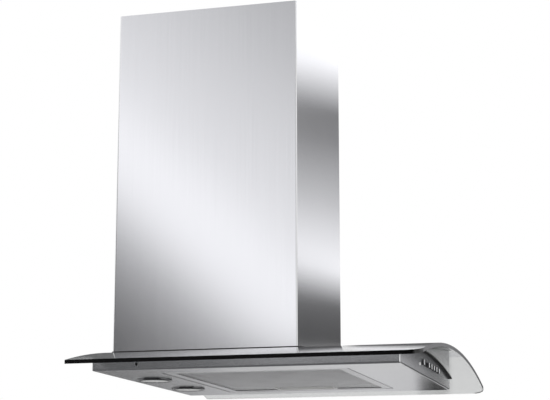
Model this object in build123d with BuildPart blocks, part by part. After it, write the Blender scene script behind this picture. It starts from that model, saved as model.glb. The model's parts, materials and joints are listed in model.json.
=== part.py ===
"""Curved glass wall hood, 60 cm wide, as separate pieces in millimetres.

X runs to the right seen from the front, the wall is the plane Y = 0 with the
front towards -Y, and Z = 0 is the flat underside of the steel body. Distances
called depth run forward from the wall, so a depth of 100 lies at Y = -100.
A height called rise is measured square to the arch, from the glass's underside.
"""

from build123d import *
import os
from math import sqrt

os.makedirs("parts", exist_ok=True)

# Sheet metal and clearances
sheet = 1.2
fold_radius = 2.5
seat_gap = 0.1
slide_gap = 0.3
running_gap = 0.05
screw_radius = 2.0
screw_head_radius = 4.0
screw_head_height = 2.2
screw_hole_gap = 0.2

# Glass canopy: a sheet bent to one radius across the hood, past the body in front
glass_width = 600.0
glass_overhang = 42.0
glass_thickness = 5.0
glass_radius = 1364.0
glass_crest = 34.3
glass_corner = 20.0
nearly_upright = 15.0

# Rubber between the body and the glass, and on the glass under the motor box
seal_thickness = 1.6
seal_width = 12.0
seal_overhang = 3.4
gasket_thickness = 1.5

# Steel body under the glass, with room in front of the filter for the controls
body_width = 418.0
body_front_room = 79.5
deck_flange = 6.0
deck_notch = 5.0
slot_width = 3.0
slot_height = 5.4
slot_depth = 63.6
slot_middle = 8.4

# Chimney: a fixed lower cover and a telescopic upper cover inside it
chimney_width = 268.6
chimney_depth = 265.0
chimney_top = 523.0
cover_return = 15.0
cover_gap = 1.0
cover_tab_length = 40.0
cover_tab_width = 24.0
cover_tab_reach = 50.0
cover_screw_length = 3.2
bracket_height = 36.0
bracket_thickness = 2.5
bracket_drop = 8.0
bracket_screw_length = 7.5
upper_bracket_hole = 4.0
upper_bracket_pitch = 160.0

# Motor box inside the chimney, and the bracket that hangs it on the wall
box_side_room = 34.3
box_front_room = 25.0
box_back = 20.0
box_top = 300.0
box_flange = 24.0
box_flange_back = 8.0
intake_lip = 2.0
glass_clearance = 3.0
fixing_radius = 4.0
fixing_inset = 10.0
fixing_end_inset = 10.0
nut_height = 3.0
wall_bracket_inset = 5.0
wall_bracket_height = 60.0
wall_bracket_drop = 75.0
wall_hole_radius = 4.0
wall_hole_pitch_x = 150.0
wall_hole_pitch_z = 30.0
wall_bracket_tab = 16.0

# Blower: scroll, impeller and motor, turning about an axis along X
scroll_back_room = 5.8
scroll_drop = 140.0
scroll_wall = 2.0
scroll_neck = 108.0
scroll_flange = 7.0
inlet_overlap = 3.0
inlet_lip = 2.5
impeller_shift = 6.0
impeller_room = 18.0
impeller_end_room = 4.0
impeller_radius = 70.0
impeller_blade = 12.0
impeller_length = 92.0
impeller_ring = 2.0
blade_count = 24
blade_thickness = 1.2
blade_angle = 28.0
hub_radius = 11.0
hub_length = 14.0
shaft_radius = 4.0
motor_radius = 42.0
motor_recess = 1.0
motor_gap = 2.0
motor_boss_radius = 15.0
motor_mount_reach = 9.0
motor_mount_size = 6.0
motor_mount_thickness = 3.0
motor_bracket_thickness = 2.5
motor_arm_width = 12.0
motor_arm_count = 3
motor_arm_angle = 90.0

# Air outlet with its two non-return flaps
duct_radius = 75.0
duct_wall = 1.8
duct_height = 45.0
duct_flange = 13.0
duct_flange_thickness = 2.0
duct_screw_count = 4
duct_screw_angle = 45.0
rod_radius = 1.5
rod_end = 0.5
rod_height = 20.0
flap_room = 1.2
flap_thickness = 1.2
barrel_radius = 3.2
ledge_width = 3.0
ledge_thickness = 1.5
barrel_start = 4.0
barrel_step = 2.0
barrel_end = 6.0

# Grease filter in the underside, hinged at the left and latched at the right
filter_width = 317.0
filter_length = 255.0
filter_back = 83.5
filter_height = 9.0
filter_gap = 1.8
filter_floor = 0.2
filter_border = 13.0
filter_sheet = 1.0
mesh_sheet = 0.8
filter_corner = 2.0
rim_height = 5.5
pin_radius = 1.5
pin_length = 7.5
pin_inset = 2.3
pin_height = 3.2
clip_width = 8.0
clip_height = 6.5
clip_length = 4.5
handle_width = 34.0
handle_length = 92.0
handle_wall = 2.0
latch_length = 56.0
latch_thickness = 2.5
latch_from_wall = 15.0
nose_width = 24.0
nose_thickness = 2.0

# Two round lamps in the underside
lamp_x = 75.0
lamp_depth = 41.5
bezel_radius = 25.0
bezel_height = 3.0
bezel_lip = 5.0
bezel_cover = 1.0
lens_inset = 4.0
lens_thickness = 5.0
lens_recess = 0.6
lamp_can_height = 17.0
lamp_can_wall = 1.0
lamp_can_taper = 8.0
bulb_radius = 5.0
bulb_length = 9.0

# Controls in the front panel
button_width = 8.0
button_height = 7.0
button_corner = 1.2
button_out = 2.4
button_travel = 2.0
button_drop = 9.7
button_lip_thickness = 1.0
button_lip = 0.8
button_first_x = -36.0
button_pitch = 22.0
button_count = 6
stem_size = 4.0
stem_length = 5.5
window_step = 21.0
window_width = 26.0
window_height = 8.0
indicator_x = -60.0
indicator_height = 13.6
indicator_radius = 2.2
indicator_out = 0.9
housing_margin = 8.0
housing_over = 5.0
housing_under = 5.2
housing_depth = 11.0
housing_ear = 5.0
board_thickness = 1.6

# Electric parts
control_box_x = -135.0
control_box_setback = 39.0
control_box_width = 86.0
control_box_length = 50.0
control_box_height = 12.0
control_box_wall = 1.5
board_room = 0.75
transformer_x = -10.0
transformer_setback = 40.0
core_width = 44.0
core_length = 34.0
core_height = 7.5
coil_width = 30.8
coil_length = 27.2
coil_height = 15.0
terminal_box_setback = 30.0
terminal_box_drop = 45.0
terminal_box_width = 22.0
terminal_box_length = 80.0
terminal_box_height = 50.0
terminal_box_wall = 2.0
block_ways = 5
block_pitch = 10.0
block_height = 16.0
block_thickness = 11.0
block_drop = 6.0
block_hole = 2.5
block_hole_pitch = 8.0
block_hole_depth = 5.5
gland_radius = 7.0
gland_height = 16.0
gland_bore = 3.5
gland_wall = 1.0
gland_seat = 4.0
capacitor_radius = 12.0
capacitor_length = 60.0
capacitor_setback = 30.0
capacitor_drop = 50.0
capacitor_edge = 1.0
strap_thickness = 1.5
strap_foot = 12.0
strap_height = 12.0

# Heights above the glass's underside, measured square to the arch
deck_top = -seal_thickness
deck_bottom = deck_top - sheet
gasket_bottom = glass_thickness + seat_gap
gasket_top = glass_thickness + gasket_thickness
flange_bottom = gasket_top + seat_gap
flange_top = flange_bottom + sheet

# Sizes and places that several pieces share
arch_centre = glass_crest - glass_radius
filter_front = filter_back + filter_length
filter_middle = (filter_back + filter_front) / 2
body_depth = filter_front + body_front_room
front_inside = body_depth - sheet
glass_depth = body_depth + glass_overhang
half_body = body_width / 2
half_chimney = chimney_width / 2
half_box = half_chimney - box_side_room
box_width = 2 * half_box
box_front = chimney_depth - box_front_room
box_middle = (box_back + box_front) / 2
box_depth = box_front - box_back
lamp_hole_radius = bezel_radius - bezel_cover
lamp_places = [(-lamp_x, -lamp_depth), (lamp_x, -lamp_depth)]
fixing_x = half_box + fixing_inset + glass_clearance
fixing_depths = (box_back + fixing_end_inset, box_middle, box_front - fixing_end_inset)
fixing_places = [(x, -depth) for x in (-fixing_x, fixing_x) for depth in fixing_depths]
tab_depths = (box_middle - cover_tab_reach, box_middle + cover_tab_reach)
tab_screw_x = half_chimney - cover_tab_width + screw_head_radius + seat_gap
tab_places = [(x, -depth) for x in (-tab_screw_x, tab_screw_x) for depth in tab_depths]
half_bracket = half_box - wall_bracket_inset
hook_x = half_bracket - wall_bracket_tab / 2
wall_bracket_middle = box_top - wall_bracket_drop
hook_places = [(-hook_x, wall_bracket_middle), (hook_x, wall_bracket_middle)]
pin_x = -filter_width / 2 + pin_inset
rim_start = pin_x + 2 * clip_width
nose_floor = rim_height + slide_gap
hole_width = filter_width + 2 * filter_gap
hole_length = filter_length + 2 * filter_gap
window_x = button_first_x + window_step
button_second_x = window_x + window_step
button_last_x = button_second_x + button_pitch * (button_count - 2)
button_xs = [button_first_x] + [button_second_x + button_pitch * n for n in range(button_count - 1)]
housing_left = button_first_x - housing_margin
housing_right = button_last_x + housing_margin


def arch(x, rise=0.0):
    """Height at x of the surface that lies rise above the glass's underside."""
    return arch_centre + sqrt((glass_radius + rise) ** 2 - x**2)


# The buttons and their housing keep clear of the deck at its lower, outer end
button_row = arch(housing_right, deck_bottom) - button_drop
housing_floor = button_row - housing_under
housing_top = button_row + housing_over
housing_middle_z = (housing_floor + housing_top) / 2
button_places = [(x, button_row) for x in button_xs]


def arched_strip(left, right, low, high):
    """Face across the hood between two rises."""
    middle = (left + right) / 2
    with BuildSketch() as strip:
        with BuildLine():
            lower = ThreePointArc(*[(x, arch(x, low)) for x in (left, middle, right)])
            upper = ThreePointArc(*[(x, arch(x, high)) for x in (left, middle, right)])
            Line(lower @ 0, upper @ 0)
            Line(lower @ 1, upper @ 1)
        make_face()
    return strip.sketch


def below_arch(half_width, floor, rise):
    """Face from a flat floor up to the arched surface at a rise."""
    with BuildSketch() as section:
        with BuildLine():
            edge = arch(half_width, rise)
            top = ThreePointArc((-half_width, edge), (0, arch(0, rise)), (half_width, edge))
            Polyline(top @ 0, (-half_width, floor), (half_width, floor), top @ 1)
        make_face()
    return section.sketch


def cover_profile(half_width, front, back):
    """Plan of a folded cover: front, two sides and a narrow return at each rear edge."""
    inner_width, inner_length = 2 * (half_width - sheet), front - back - 2 * sheet
    with BuildSketch() as profile:
        with Locations((0, -(front + back) / 2)):
            RectangleRounded(2 * half_width, front - back, fold_radius)
            RectangleRounded(inner_width, inner_length, fold_radius - sheet, mode=Mode.SUBTRACT)
        with Locations((0, -back)):
            Rectangle(2 * (half_width - cover_return), 4 * sheet, mode=Mode.SUBTRACT)
    return profile.sketch


# Body: a folded tray with an arched rim, open at the top
with BuildPart() as body_shell:
    with BuildSketch(Plane.XZ):
        add(below_arch(half_body, 0, deck_top))
    extrude(amount=body_depth)
    upright = body_shell.edges().filter_by(Axis.Z)
    underside = body_shell.faces().sort_by(Axis.Z)[0].edges()
    fillet(upright + underside, radius=fold_radius)
    offset(amount=-sheet, openings=body_shell.faces().sort_by(Axis.Z)[-1])
    # Rim turned up round the filter opening, left off beside the hinge
    with BuildSketch():
        with Locations((0, -filter_middle)):
            Rectangle(hole_width + 2 * sheet, hole_length + 2 * sheet)
        with Locations((rim_start - hole_width / 2, -filter_middle)):
            Rectangle(hole_width, 2 * hole_length, mode=Mode.SUBTRACT)
    extrude(amount=rim_height)
    # Filter opening and lamp holes in the floor
    with BuildSketch():
        with Locations((0, -filter_middle)):
            RectangleRounded(hole_width, hole_length, filter_corner)
        with Locations(lamp_places):
            Circle(lamp_hole_radius)
    extrude(amount=2 * rim_height, mode=Mode.SUBTRACT)
    # Buttons, speed window and indicator in the front wall
    with BuildSketch(Plane.XZ.offset(body_depth)):
        with Locations(button_places):
            RectangleRounded(
                button_width + 2 * slide_gap,
                button_height + 2 * slide_gap,
                button_corner + slide_gap,
            )
        with Locations((window_x, button_row)):
            Rectangle(window_width, window_height)
        with Locations((indicator_x, indicator_height)):
            Circle(indicator_radius)
    extrude(amount=-2 * sheet, mode=Mode.SUBTRACT)
    # One locating slot low in each side wall
    with BuildSketch(Plane.YZ):
        with Locations((-slot_depth, slot_middle)):
            SlotOverall(slot_height, slot_width, rotation=90)
    extrude(amount=body_width, both=True, mode=Mode.SUBTRACT)
body_shell.part.label = "body_shell"
export_step(body_shell.part, "parts/body_shell.step")


# Deck: the curved sheet that closes the body, turned down along three edges. Its
# pieces are made too long, and one cut trims them to lie inside the body's corners.
deck_half = half_body - sheet - seat_gap
deck_back = sheet + seat_gap
deck_front = front_inside - seat_gap
flange_width = half_body - deck_half + sheet
flange_x = half_body - flange_width / 2
side_top = arch(deck_half, deck_bottom)
with BuildPart() as top_deck:
    with BuildSketch(Plane.XZ):
        add(arched_strip(-half_body, half_body, deck_bottom, deck_top))
    extrude(amount=body_depth)
    with BuildSketch(Plane.XZ):
        add(arched_strip(-half_body, half_body, deck_bottom - deck_flange, deck_bottom))
    extrude(amount=deck_back + sheet)
    # The side flanges stop short of the corners, as a folded sheet is notched there
    with BuildSketch(Plane.XY.offset(side_top - deck_flange)):
        with Locations((-flange_x, -body_depth / 2), (flange_x, -body_depth / 2)):
            Rectangle(flange_width, deck_front - deck_back - 2 * deck_notch)
    extrude(amount=deck_flange + sheet / 2)
    # Air intake under the motor box, and the holes of the glass screws
    with BuildSketch():
        with Locations((0, -box_middle)):
            Rectangle(box_width - 2 * sheet - 2 * intake_lip, box_depth - 2 * sheet - 2 * intake_lip)
        with Locations(fixing_places):
            Circle(screw_radius + screw_hole_gap)
    extrude(amount=2 * glass_crest, mode=Mode.SUBTRACT)
    with BuildSketch():
        with Locations((0, -(deck_back + deck_front) / 2)):
            RectangleRounded(2 * deck_half, deck_front - deck_back, fold_radius)
    extrude(amount=2 * glass_crest, mode=Mode.INTERSECT)
top_deck.part.label = "top_deck"
export_step(top_deck.part, "parts/top_deck.step")


# Glass canopy, with an opening for the motor box hidden under the chimney
opening_width = box_width + 2 * glass_clearance
opening_length = box_depth + 2 * glass_clearance
with BuildPart() as glass_canopy:
    with BuildSketch(Plane.XZ):
        add(arched_strip(-glass_width / 2, glass_width / 2, 0, glass_thickness))
    extrude(amount=glass_depth)
    upright = glass_canopy.edges().filter_by(Axis.Z, tolerance=nearly_upright)
    fillet(upright.group_by(Axis.Y)[0], radius=glass_corner)
    with BuildSketch():
        with Locations((0, -box_middle)):
            RectangleRounded(opening_width, opening_length, glass_clearance)
        with Locations(fixing_places):
            Circle(fixing_radius)
    extrude(amount=2 * glass_crest, mode=Mode.SUBTRACT)
glass_canopy.part.label = "glass_canopy"
export_step(glass_canopy.part, "parts/glass_canopy.step")


# Rubber strips between the body and the glass: the front one stands out as a lip
seal_low = deck_top + seat_gap
seal_high = -seat_gap
seal_front = body_depth + seal_overhang
seal_step = body_depth - seal_width
with BuildPart() as front_seal:
    with BuildSketch(Plane.XZ.offset(seal_step)):
        add(arched_strip(-half_body, half_body, seal_low, seal_high))
    extrude(amount=seal_front - seal_step)
front_seal.part.label = "front_seal"
export_step(front_seal.part, "parts/front_seal.step")

with BuildPart() as rear_seal:
    with BuildSketch(Plane.XZ):
        add(arched_strip(-half_body, half_body, seal_low, seal_high))
    extrude(amount=seal_width)
rear_seal.part.label = "rear_seal"
export_step(rear_seal.part, "parts/rear_seal.step")

with BuildPart() as side_seals:
    with BuildSketch(Plane.XZ.offset(seal_width + seat_gap)):
        for left in (-half_body, half_body - seal_width):
            add(arched_strip(left, left + seal_width, seal_low, seal_high))
    extrude(amount=seal_step - seal_width - 2 * seat_gap)
side_seals.part.label = "side_seals"
export_step(side_seals.part, "parts/side_seals.step")


# Motor box: a steel box open below, whose flange clamps the glass through a gasket
flange_half = half_box + box_flange
flange_front = box_front + box_flange - box_flange_back
duct_screw_ring = duct_radius + duct_flange / 2
with BuildPart() as motor_box:
    with BuildSketch(Plane.XZ.offset(box_back)):
        with Locations((0, box_top / 2)):
            Rectangle(box_width, box_top)
    extrude(amount=box_depth)
    with BuildSketch(Plane.XZ.offset(box_back)):
        add(below_arch(box_width, -box_top, deck_top + seat_gap))
    extrude(amount=box_depth, mode=Mode.SUBTRACT)
    with BuildSketch(Plane.XZ.offset(box_flange_back)):
        add(arched_strip(-flange_half, flange_half, flange_bottom, flange_top))
    extrude(amount=flange_front - box_flange_back)
    with BuildSketch():
        with Locations((0, -box_middle)):
            Rectangle(box_width - 2 * sheet, box_depth - 2 * sheet)
    extrude(amount=box_top - sheet, mode=Mode.SUBTRACT)
    # Air outlet with its screw holes in the roof, and the holes in the flange
    with BuildSketch(Plane.XY.offset(box_top)):
        with Locations((0, -box_middle)):
            Circle(duct_radius - duct_wall)
            with PolarLocations(duct_screw_ring, duct_screw_count, start_angle=duct_screw_angle):
                Circle(screw_radius + screw_hole_gap)
    extrude(amount=-2 * sheet, mode=Mode.SUBTRACT)
    with BuildSketch():
        with Locations(fixing_places):
            Circle(screw_radius + screw_hole_gap)
        with Locations(tab_places):
            Circle(screw_radius + screw_hole_gap)
    extrude(amount=box_top - 2 * sheet, mode=Mode.SUBTRACT)
    # Two holes for the screws of the wall bracket
    with BuildSketch(Plane.XZ.offset(box_back)):
        with Locations(hook_places):
            Circle(screw_radius + screw_hole_gap)
    extrude(amount=2 * sheet, mode=Mode.SUBTRACT)
motor_box.part.label = "motor_box"
export_step(motor_box.part, "parts/motor_box.step")


# Gasket between the glass and the motor box's flange
with BuildPart() as glass_gasket:
    with BuildSketch(Plane.XZ.offset(box_flange_back)):
        add(arched_strip(-flange_half, flange_half, gasket_bottom, gasket_top))
    extrude(amount=flange_front - box_flange_back)
    with BuildSketch():
        with Locations((0, -box_middle)):
            RectangleRounded(opening_width, opening_length, glass_clearance)
        with Locations(fixing_places):
            Circle(fixing_radius)
        with Locations(tab_places):
            Circle(screw_radius + screw_hole_gap)
    extrude(amount=2 * glass_crest, mode=Mode.SUBTRACT)
glass_gasket.part.label = "glass_gasket"
export_step(glass_gasket.part, "parts/glass_gasket.step")


# Rubber spacers that carry the glass above the deck at each glass screw
with BuildPart() as glass_spacers:
    with BuildSketch():
        with Locations(fixing_places):
            Circle(2 * fixing_radius)
            Circle(screw_radius + screw_hole_gap, mode=Mode.SUBTRACT)
    extrude(amount=2 * glass_crest)
    with BuildSketch(Plane.XZ):
        add(arched_strip(-half_body, half_body, seal_low, seal_high))
    extrude(amount=body_depth, mode=Mode.INTERSECT)
glass_spacers.part.label = "glass_spacers"
export_step(glass_spacers.part, "parts/glass_spacers.step")


# Screws through flange, glass and deck, each with its nut under the deck
head_floor = arch(fixing_x - screw_head_radius, flange_top) + seat_gap
nut_roof = arch(fixing_x + screw_head_radius, deck_bottom) - seat_gap
with BuildPart() as glass_screws:
    with BuildSketch(Plane.XY.offset(head_floor)):
        with Locations(fixing_places):
            Circle(screw_head_radius)
    extrude(amount=screw_head_height)
    with BuildSketch(Plane.XY.offset(nut_roof)):
        with Locations(fixing_places):
            RegularPolygon(screw_head_radius, 6)
    extrude(amount=-nut_height)
    with BuildSketch(Plane.XY.offset(nut_roof - nut_height)):
        with Locations(fixing_places):
            Circle(screw_radius)
    extrude(amount=head_floor - nut_roof + nut_height)
glass_screws.part.label = "glass_screws"
export_step(glass_screws.part, "parts/glass_screws.step")


# Lower chimney cover: stands on the glass, held by four tabs on the flange
tab_floor = arch(tab_screw_x - screw_head_radius, flange_top) + seat_gap
tab_top = tab_floor + sheet
with BuildPart() as chimney_cover:
    with BuildSketch():
        add(cover_profile(half_chimney, chimney_depth, 0))
    extrude(amount=chimney_top)
    with BuildSketch(Plane.XZ):
        add(below_arch(chimney_width, -chimney_top, glass_thickness + seat_gap))
    extrude(amount=glass_depth, mode=Mode.SUBTRACT)
    with BuildSketch(Plane.XY.offset(tab_floor)):
        for x in (cover_tab_width / 2 - half_chimney, half_chimney - cover_tab_width / 2):
            with Locations([(x, -depth) for depth in tab_depths]):
                Rectangle(cover_tab_width - sheet / 2, cover_tab_length)
        with Locations(tab_places):
            Circle(screw_radius + screw_hole_gap, mode=Mode.SUBTRACT)
    extrude(amount=sheet)
chimney_cover.part.label = "chimney_cover"
export_step(chimney_cover.part, "parts/chimney_cover.step")

with BuildPart() as cover_screws:
    with BuildSketch(Plane.XY.offset(tab_top + seat_gap)):
        with Locations(tab_places):
            Circle(screw_head_radius)
    extrude(amount=screw_head_height)
    with BuildSketch(Plane.XY.offset(tab_top + seat_gap)):
        with Locations(tab_places):
            Circle(screw_radius)
    extrude(amount=-cover_screw_length)
cover_screws.part.label = "cover_screws"
export_step(cover_screws.part, "parts/cover_screws.step")


# Upper chimney cover: slides up out of the lower one and rests on its four tabs
upper_half = half_chimney - sheet - cover_gap
upper_front = chimney_depth - sheet - cover_gap
upper_back = sheet + cover_gap
ear_x = upper_half - cover_return / 2
bracket_middle = chimney_top - bracket_drop - bracket_height / 2
upper_floor = max(tab_top, arch(0, glass_thickness)) + slide_gap
with BuildPart() as upper_cover:
    with BuildSketch(Plane.XY.offset(upper_floor)):
        add(cover_profile(upper_half, upper_front, upper_back))
    extrude(amount=chimney_top - upper_floor)
    with BuildSketch(Plane.XZ):
        with Locations((-ear_x, bracket_middle), (ear_x, bracket_middle)):
            Circle(screw_radius + screw_hole_gap)
    extrude(amount=upper_back + 2 * sheet, mode=Mode.SUBTRACT)
upper_cover.part.label = "upper_cover"
export_step(upper_cover.part, "parts/upper_cover.step")


# Bracket that fixes the upper cover to the wall: joggled ends lie on the returns
joggle_back = upper_back + sheet
joggle_x = upper_half - cover_return - slide_gap
ear_end = upper_half - fold_radius - slide_gap
with BuildPart() as upper_bracket:
    with BuildSketch(Plane.XY.offset(bracket_middle - bracket_height / 2)):
        with BuildLine():
            Polyline(
                (0, 0),
                (joggle_x, 0),
                (joggle_x, -joggle_back),
                (ear_end, -joggle_back),
                (ear_end, -joggle_back - bracket_thickness),
                (joggle_x - bracket_thickness, -joggle_back - bracket_thickness),
                (joggle_x - bracket_thickness, -bracket_thickness),
                (0, -bracket_thickness),
                close=True,
            )
        make_face()
        mirror(about=Plane.YZ)
    extrude(amount=bracket_height)
    with BuildSketch(Plane.XZ):
        with Locations((0, bracket_middle)):
            with GridLocations(upper_bracket_pitch, 0, 2, 1):
                Circle(upper_bracket_hole)
        with Locations((-ear_x, bracket_middle), (ear_x, bracket_middle)):
            Circle(screw_radius + screw_hole_gap)
    extrude(amount=upper_back + 2 * sheet + bracket_thickness, mode=Mode.SUBTRACT)
upper_bracket.part.label = "upper_bracket"
export_step(upper_bracket.part, "parts/upper_bracket.step")

ear_face = joggle_back + bracket_thickness
with BuildPart() as upper_screws:
    with BuildSketch(Plane.XZ.offset(ear_face)):
        with Locations((-ear_x, bracket_middle), (ear_x, bracket_middle)):
            Circle(screw_head_radius)
    extrude(amount=screw_head_height)
    with BuildSketch(Plane.XZ.offset(ear_face)):
        with Locations((-ear_x, bracket_middle), (ear_x, bracket_middle)):
            Circle(screw_radius)
    extrude(amount=upper_back - ear_face)
upper_screws.part.label = "upper_screws"
export_step(upper_screws.part, "parts/upper_screws.step")


# Wall bracket: back plate, two arms and turned tabs screwed to the motor box
arm_front = box_back - seat_gap
with BuildPart() as wall_bracket:
    with BuildSketch(Plane.XY.offset(wall_bracket_middle - wall_bracket_height / 2)):
        with BuildLine():
            Polyline(
                (0, 0),
                (half_bracket, 0),
                (half_bracket, -arm_front),
                (half_bracket - wall_bracket_tab, -arm_front),
                (half_bracket - wall_bracket_tab, -arm_front + bracket_thickness),
                (half_bracket - bracket_thickness, -arm_front + bracket_thickness),
                (half_bracket - bracket_thickness, -bracket_thickness),
                (0, -bracket_thickness),
                close=True,
            )
        make_face()
        mirror(about=Plane.YZ)
    extrude(amount=wall_bracket_height)
    with BuildSketch(Plane.XZ):
        with Locations((0, wall_bracket_middle)):
            with GridLocations(wall_hole_pitch_x, wall_hole_pitch_z, 2, 2):
                Circle(wall_hole_radius)
    extrude(amount=2 * bracket_thickness, mode=Mode.SUBTRACT)
    with BuildSketch(Plane.XZ.offset(arm_front)):
        with Locations(hook_places):
            Circle(screw_radius + screw_hole_gap)
    extrude(amount=-2 * bracket_thickness, mode=Mode.SUBTRACT)
wall_bracket.part.label = "wall_bracket"
export_step(wall_bracket.part, "parts/wall_bracket.step")

with BuildPart() as bracket_screws:
    with BuildSketch(Plane.XZ.offset(box_back + sheet)):
        with Locations(hook_places):
            Circle(screw_head_radius)
    extrude(amount=screw_head_height)
    with BuildSketch(Plane.XZ.offset(box_back + sheet)):
        with Locations(hook_places):
            Circle(screw_radius)
    extrude(amount=-bracket_screw_length)
bracket_screws.part.label = "bracket_screws"
export_step(bracket_screws.part, "parts/bracket_screws.step")


# Blower scroll in two halves: a drum with a straight neck up to the roof of the box
scroll_radius = impeller_radius + impeller_room
scroll_half_width = impeller_length / 2 + impeller_end_room + scroll_wall
scroll_inside = scroll_half_width - scroll_wall
scroll_depth = box_back + sheet + scroll_back_room + scroll_radius
scroll_height = box_top - scroll_drop
neck_middle = scroll_depth + scroll_radius - scroll_neck / 2
neck_top = box_top - sheet
inlet_radius = impeller_radius - impeller_blade - inlet_overlap
impeller_depth = scroll_depth - impeller_shift
impeller_height = scroll_height + impeller_shift
motor_mount_radius = inlet_radius + motor_mount_reach
for name, side in (("left_scroll", -1), ("right_scroll", 1)):
    with BuildPart() as scroll:
        with BuildSketch(Plane.YZ):
            with Locations((-scroll_depth, scroll_height)):
                Circle(scroll_radius)
            with Locations((-neck_middle, (scroll_height + neck_top) / 2)):
                Rectangle(scroll_neck, neck_top - scroll_height)
        extrude(amount=side * scroll_half_width)
        with BuildSketch(Plane.XY.offset(neck_top)):
            with Locations((side * (scroll_half_width + scroll_flange) / 2, -neck_middle)):
                Rectangle(scroll_half_width + scroll_flange, scroll_neck + 2 * scroll_flange)
        extrude(amount=-scroll_wall)
        with BuildSketch(Plane.YZ.offset(side * seat_gap)):
            with Locations((-scroll_depth, scroll_height)):
                Circle(scroll_radius - scroll_wall)
            with Locations((-neck_middle, (scroll_height + neck_top) / 2)):
                Rectangle(scroll_neck - 2 * scroll_wall, neck_top - scroll_height)
        extrude(amount=side * (scroll_inside - seat_gap), mode=Mode.SUBTRACT)
        # Inlet with a short lip, and the holes of the motor's three screws
        with BuildSketch(Plane.YZ.offset(side * scroll_half_width)):
            with Locations((-impeller_depth, impeller_height)):
                Circle(inlet_radius + scroll_wall)
        extrude(amount=side * inlet_lip)
        with BuildSketch(Plane.YZ.offset(side * scroll_inside)):
            with Locations((-impeller_depth, impeller_height)):
                Circle(inlet_radius)
                with PolarLocations(motor_mount_radius, motor_arm_count, start_angle=motor_arm_angle):
                    Circle(screw_radius + screw_hole_gap)
        extrude(amount=side * (scroll_wall + inlet_lip), mode=Mode.SUBTRACT)
        # A hair of room at the joint between the halves
        with BuildSketch(Plane.YZ):
            with Locations((-scroll_depth, scroll_height)):
                Rectangle(2 * box_depth, 2 * box_top)
        extrude(amount=side * seat_gap, mode=Mode.SUBTRACT)
    scroll.part.label = name
    export_step(scroll.part, f"parts/{name}.step")


# Impeller: a disc with a ring of forward-curved blades on both sides
half_length = impeller_length / 2
with BuildPart() as impeller:
    with BuildSketch(Plane.YZ.offset(-impeller_ring / 2)):
        with Locations((-impeller_depth, impeller_height)):
            Circle(impeller_radius)
    extrude(amount=impeller_ring)
    with BuildSketch(Plane.YZ.offset(-half_length)):
        with Locations((-impeller_depth, impeller_height)):
            Circle(impeller_radius)
            Circle(impeller_radius - impeller_blade, mode=Mode.SUBTRACT)
    extrude(amount=impeller_ring)
    with BuildSketch(Plane.YZ.offset(half_length)):
        with Locations((-impeller_depth, impeller_height)):
            Circle(impeller_radius)
            Circle(impeller_radius - impeller_blade, mode=Mode.SUBTRACT)
    extrude(amount=-impeller_ring)
    with BuildSketch(Plane.YZ.offset(-half_length)):
        with Locations((-impeller_depth, impeller_height)):
            with PolarLocations(impeller_radius - impeller_blade / 2, blade_count):
                Rectangle(impeller_blade - blade_thickness, blade_thickness, rotation=blade_angle)
    extrude(amount=impeller_length)
    with BuildSketch(Plane.YZ.offset(-hub_length / 2)):
        with Locations((-impeller_depth, impeller_height)):
            Circle(hub_radius)
    extrude(amount=hub_length)
    with BuildSketch(Plane.YZ.offset(-hub_length / 2)):
        with Locations((-impeller_depth, impeller_height)):
            Circle(shaft_radius)
    extrude(amount=hub_length, mode=Mode.SUBTRACT)
impeller.part.label = "impeller"
export_step(impeller.part, "parts/impeller.step")


# Motor inside the left half of the impeller, its shaft running in its bearings
motor_face = -hub_length / 2 - motor_gap
motor_rear = motor_recess - scroll_half_width
motor_length = motor_face - motor_rear
boss_end = -scroll_half_width - motor_mount_thickness
with BuildPart() as motor:
    with BuildSketch(Plane.YZ.offset(motor_rear)):
        with Locations((-impeller_depth, impeller_height)):
            Circle(motor_radius)
    extrude(amount=motor_length)
    fillet(motor.edges().filter_by(GeomType.CIRCLE), radius=fold_radius)
    with BuildSketch(Plane.YZ.offset(boss_end)):
        with Locations((-impeller_depth, impeller_height)):
            Circle(motor_boss_radius)
    extrude(amount=motor_rear - boss_end)
    with BuildSketch(Plane.YZ.offset(motor_rear)):
        with Locations((-impeller_depth, impeller_height)):
            Circle(shaft_radius + running_gap)
    extrude(amount=motor_length, mode=Mode.SUBTRACT)
motor.part.label = "motor"
export_step(motor.part, "parts/motor.step")

with BuildPart() as motor_shaft:
    with BuildSketch(Plane.YZ.offset(motor_rear + motor_gap)):
        with Locations((-impeller_depth, impeller_height)):
            Circle(shaft_radius)
    extrude(amount=hub_length + motor_length)
motor_shaft.part.label = "motor_shaft"
export_step(motor_shaft.part, "parts/motor_shaft.step")


# Three-armed motor bracket, on rubber mounts and held by three screws
with BuildPart() as motor_bracket:
    with BuildSketch(Plane.YZ.offset(boss_end)):
        with Locations((-impeller_depth, impeller_height)):
            Circle(motor_boss_radius)
            with PolarLocations(motor_mount_radius / 2, motor_arm_count, start_angle=motor_arm_angle):
                Rectangle(motor_mount_radius, motor_arm_width)
            with PolarLocations(motor_mount_radius, motor_arm_count, start_angle=motor_arm_angle):
                Circle(motor_mount_size)
                Circle(screw_radius + screw_hole_gap, mode=Mode.SUBTRACT)
    extrude(amount=-motor_bracket_thickness)
motor_bracket.part.label = "motor_bracket"
export_step(motor_bracket.part, "parts/motor_bracket.step")

with BuildPart() as motor_mounts:
    with BuildSketch(Plane.YZ.offset(boss_end)):
        with Locations((-impeller_depth, impeller_height)):
            with PolarLocations(motor_mount_radius, motor_arm_count, start_angle=motor_arm_angle):
                Circle(motor_mount_size)
                Circle(screw_radius + screw_hole_gap, mode=Mode.SUBTRACT)
    extrude(amount=motor_mount_thickness)
motor_mounts.part.label = "motor_mounts"
export_step(motor_mounts.part, "parts/motor_mounts.step")

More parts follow.
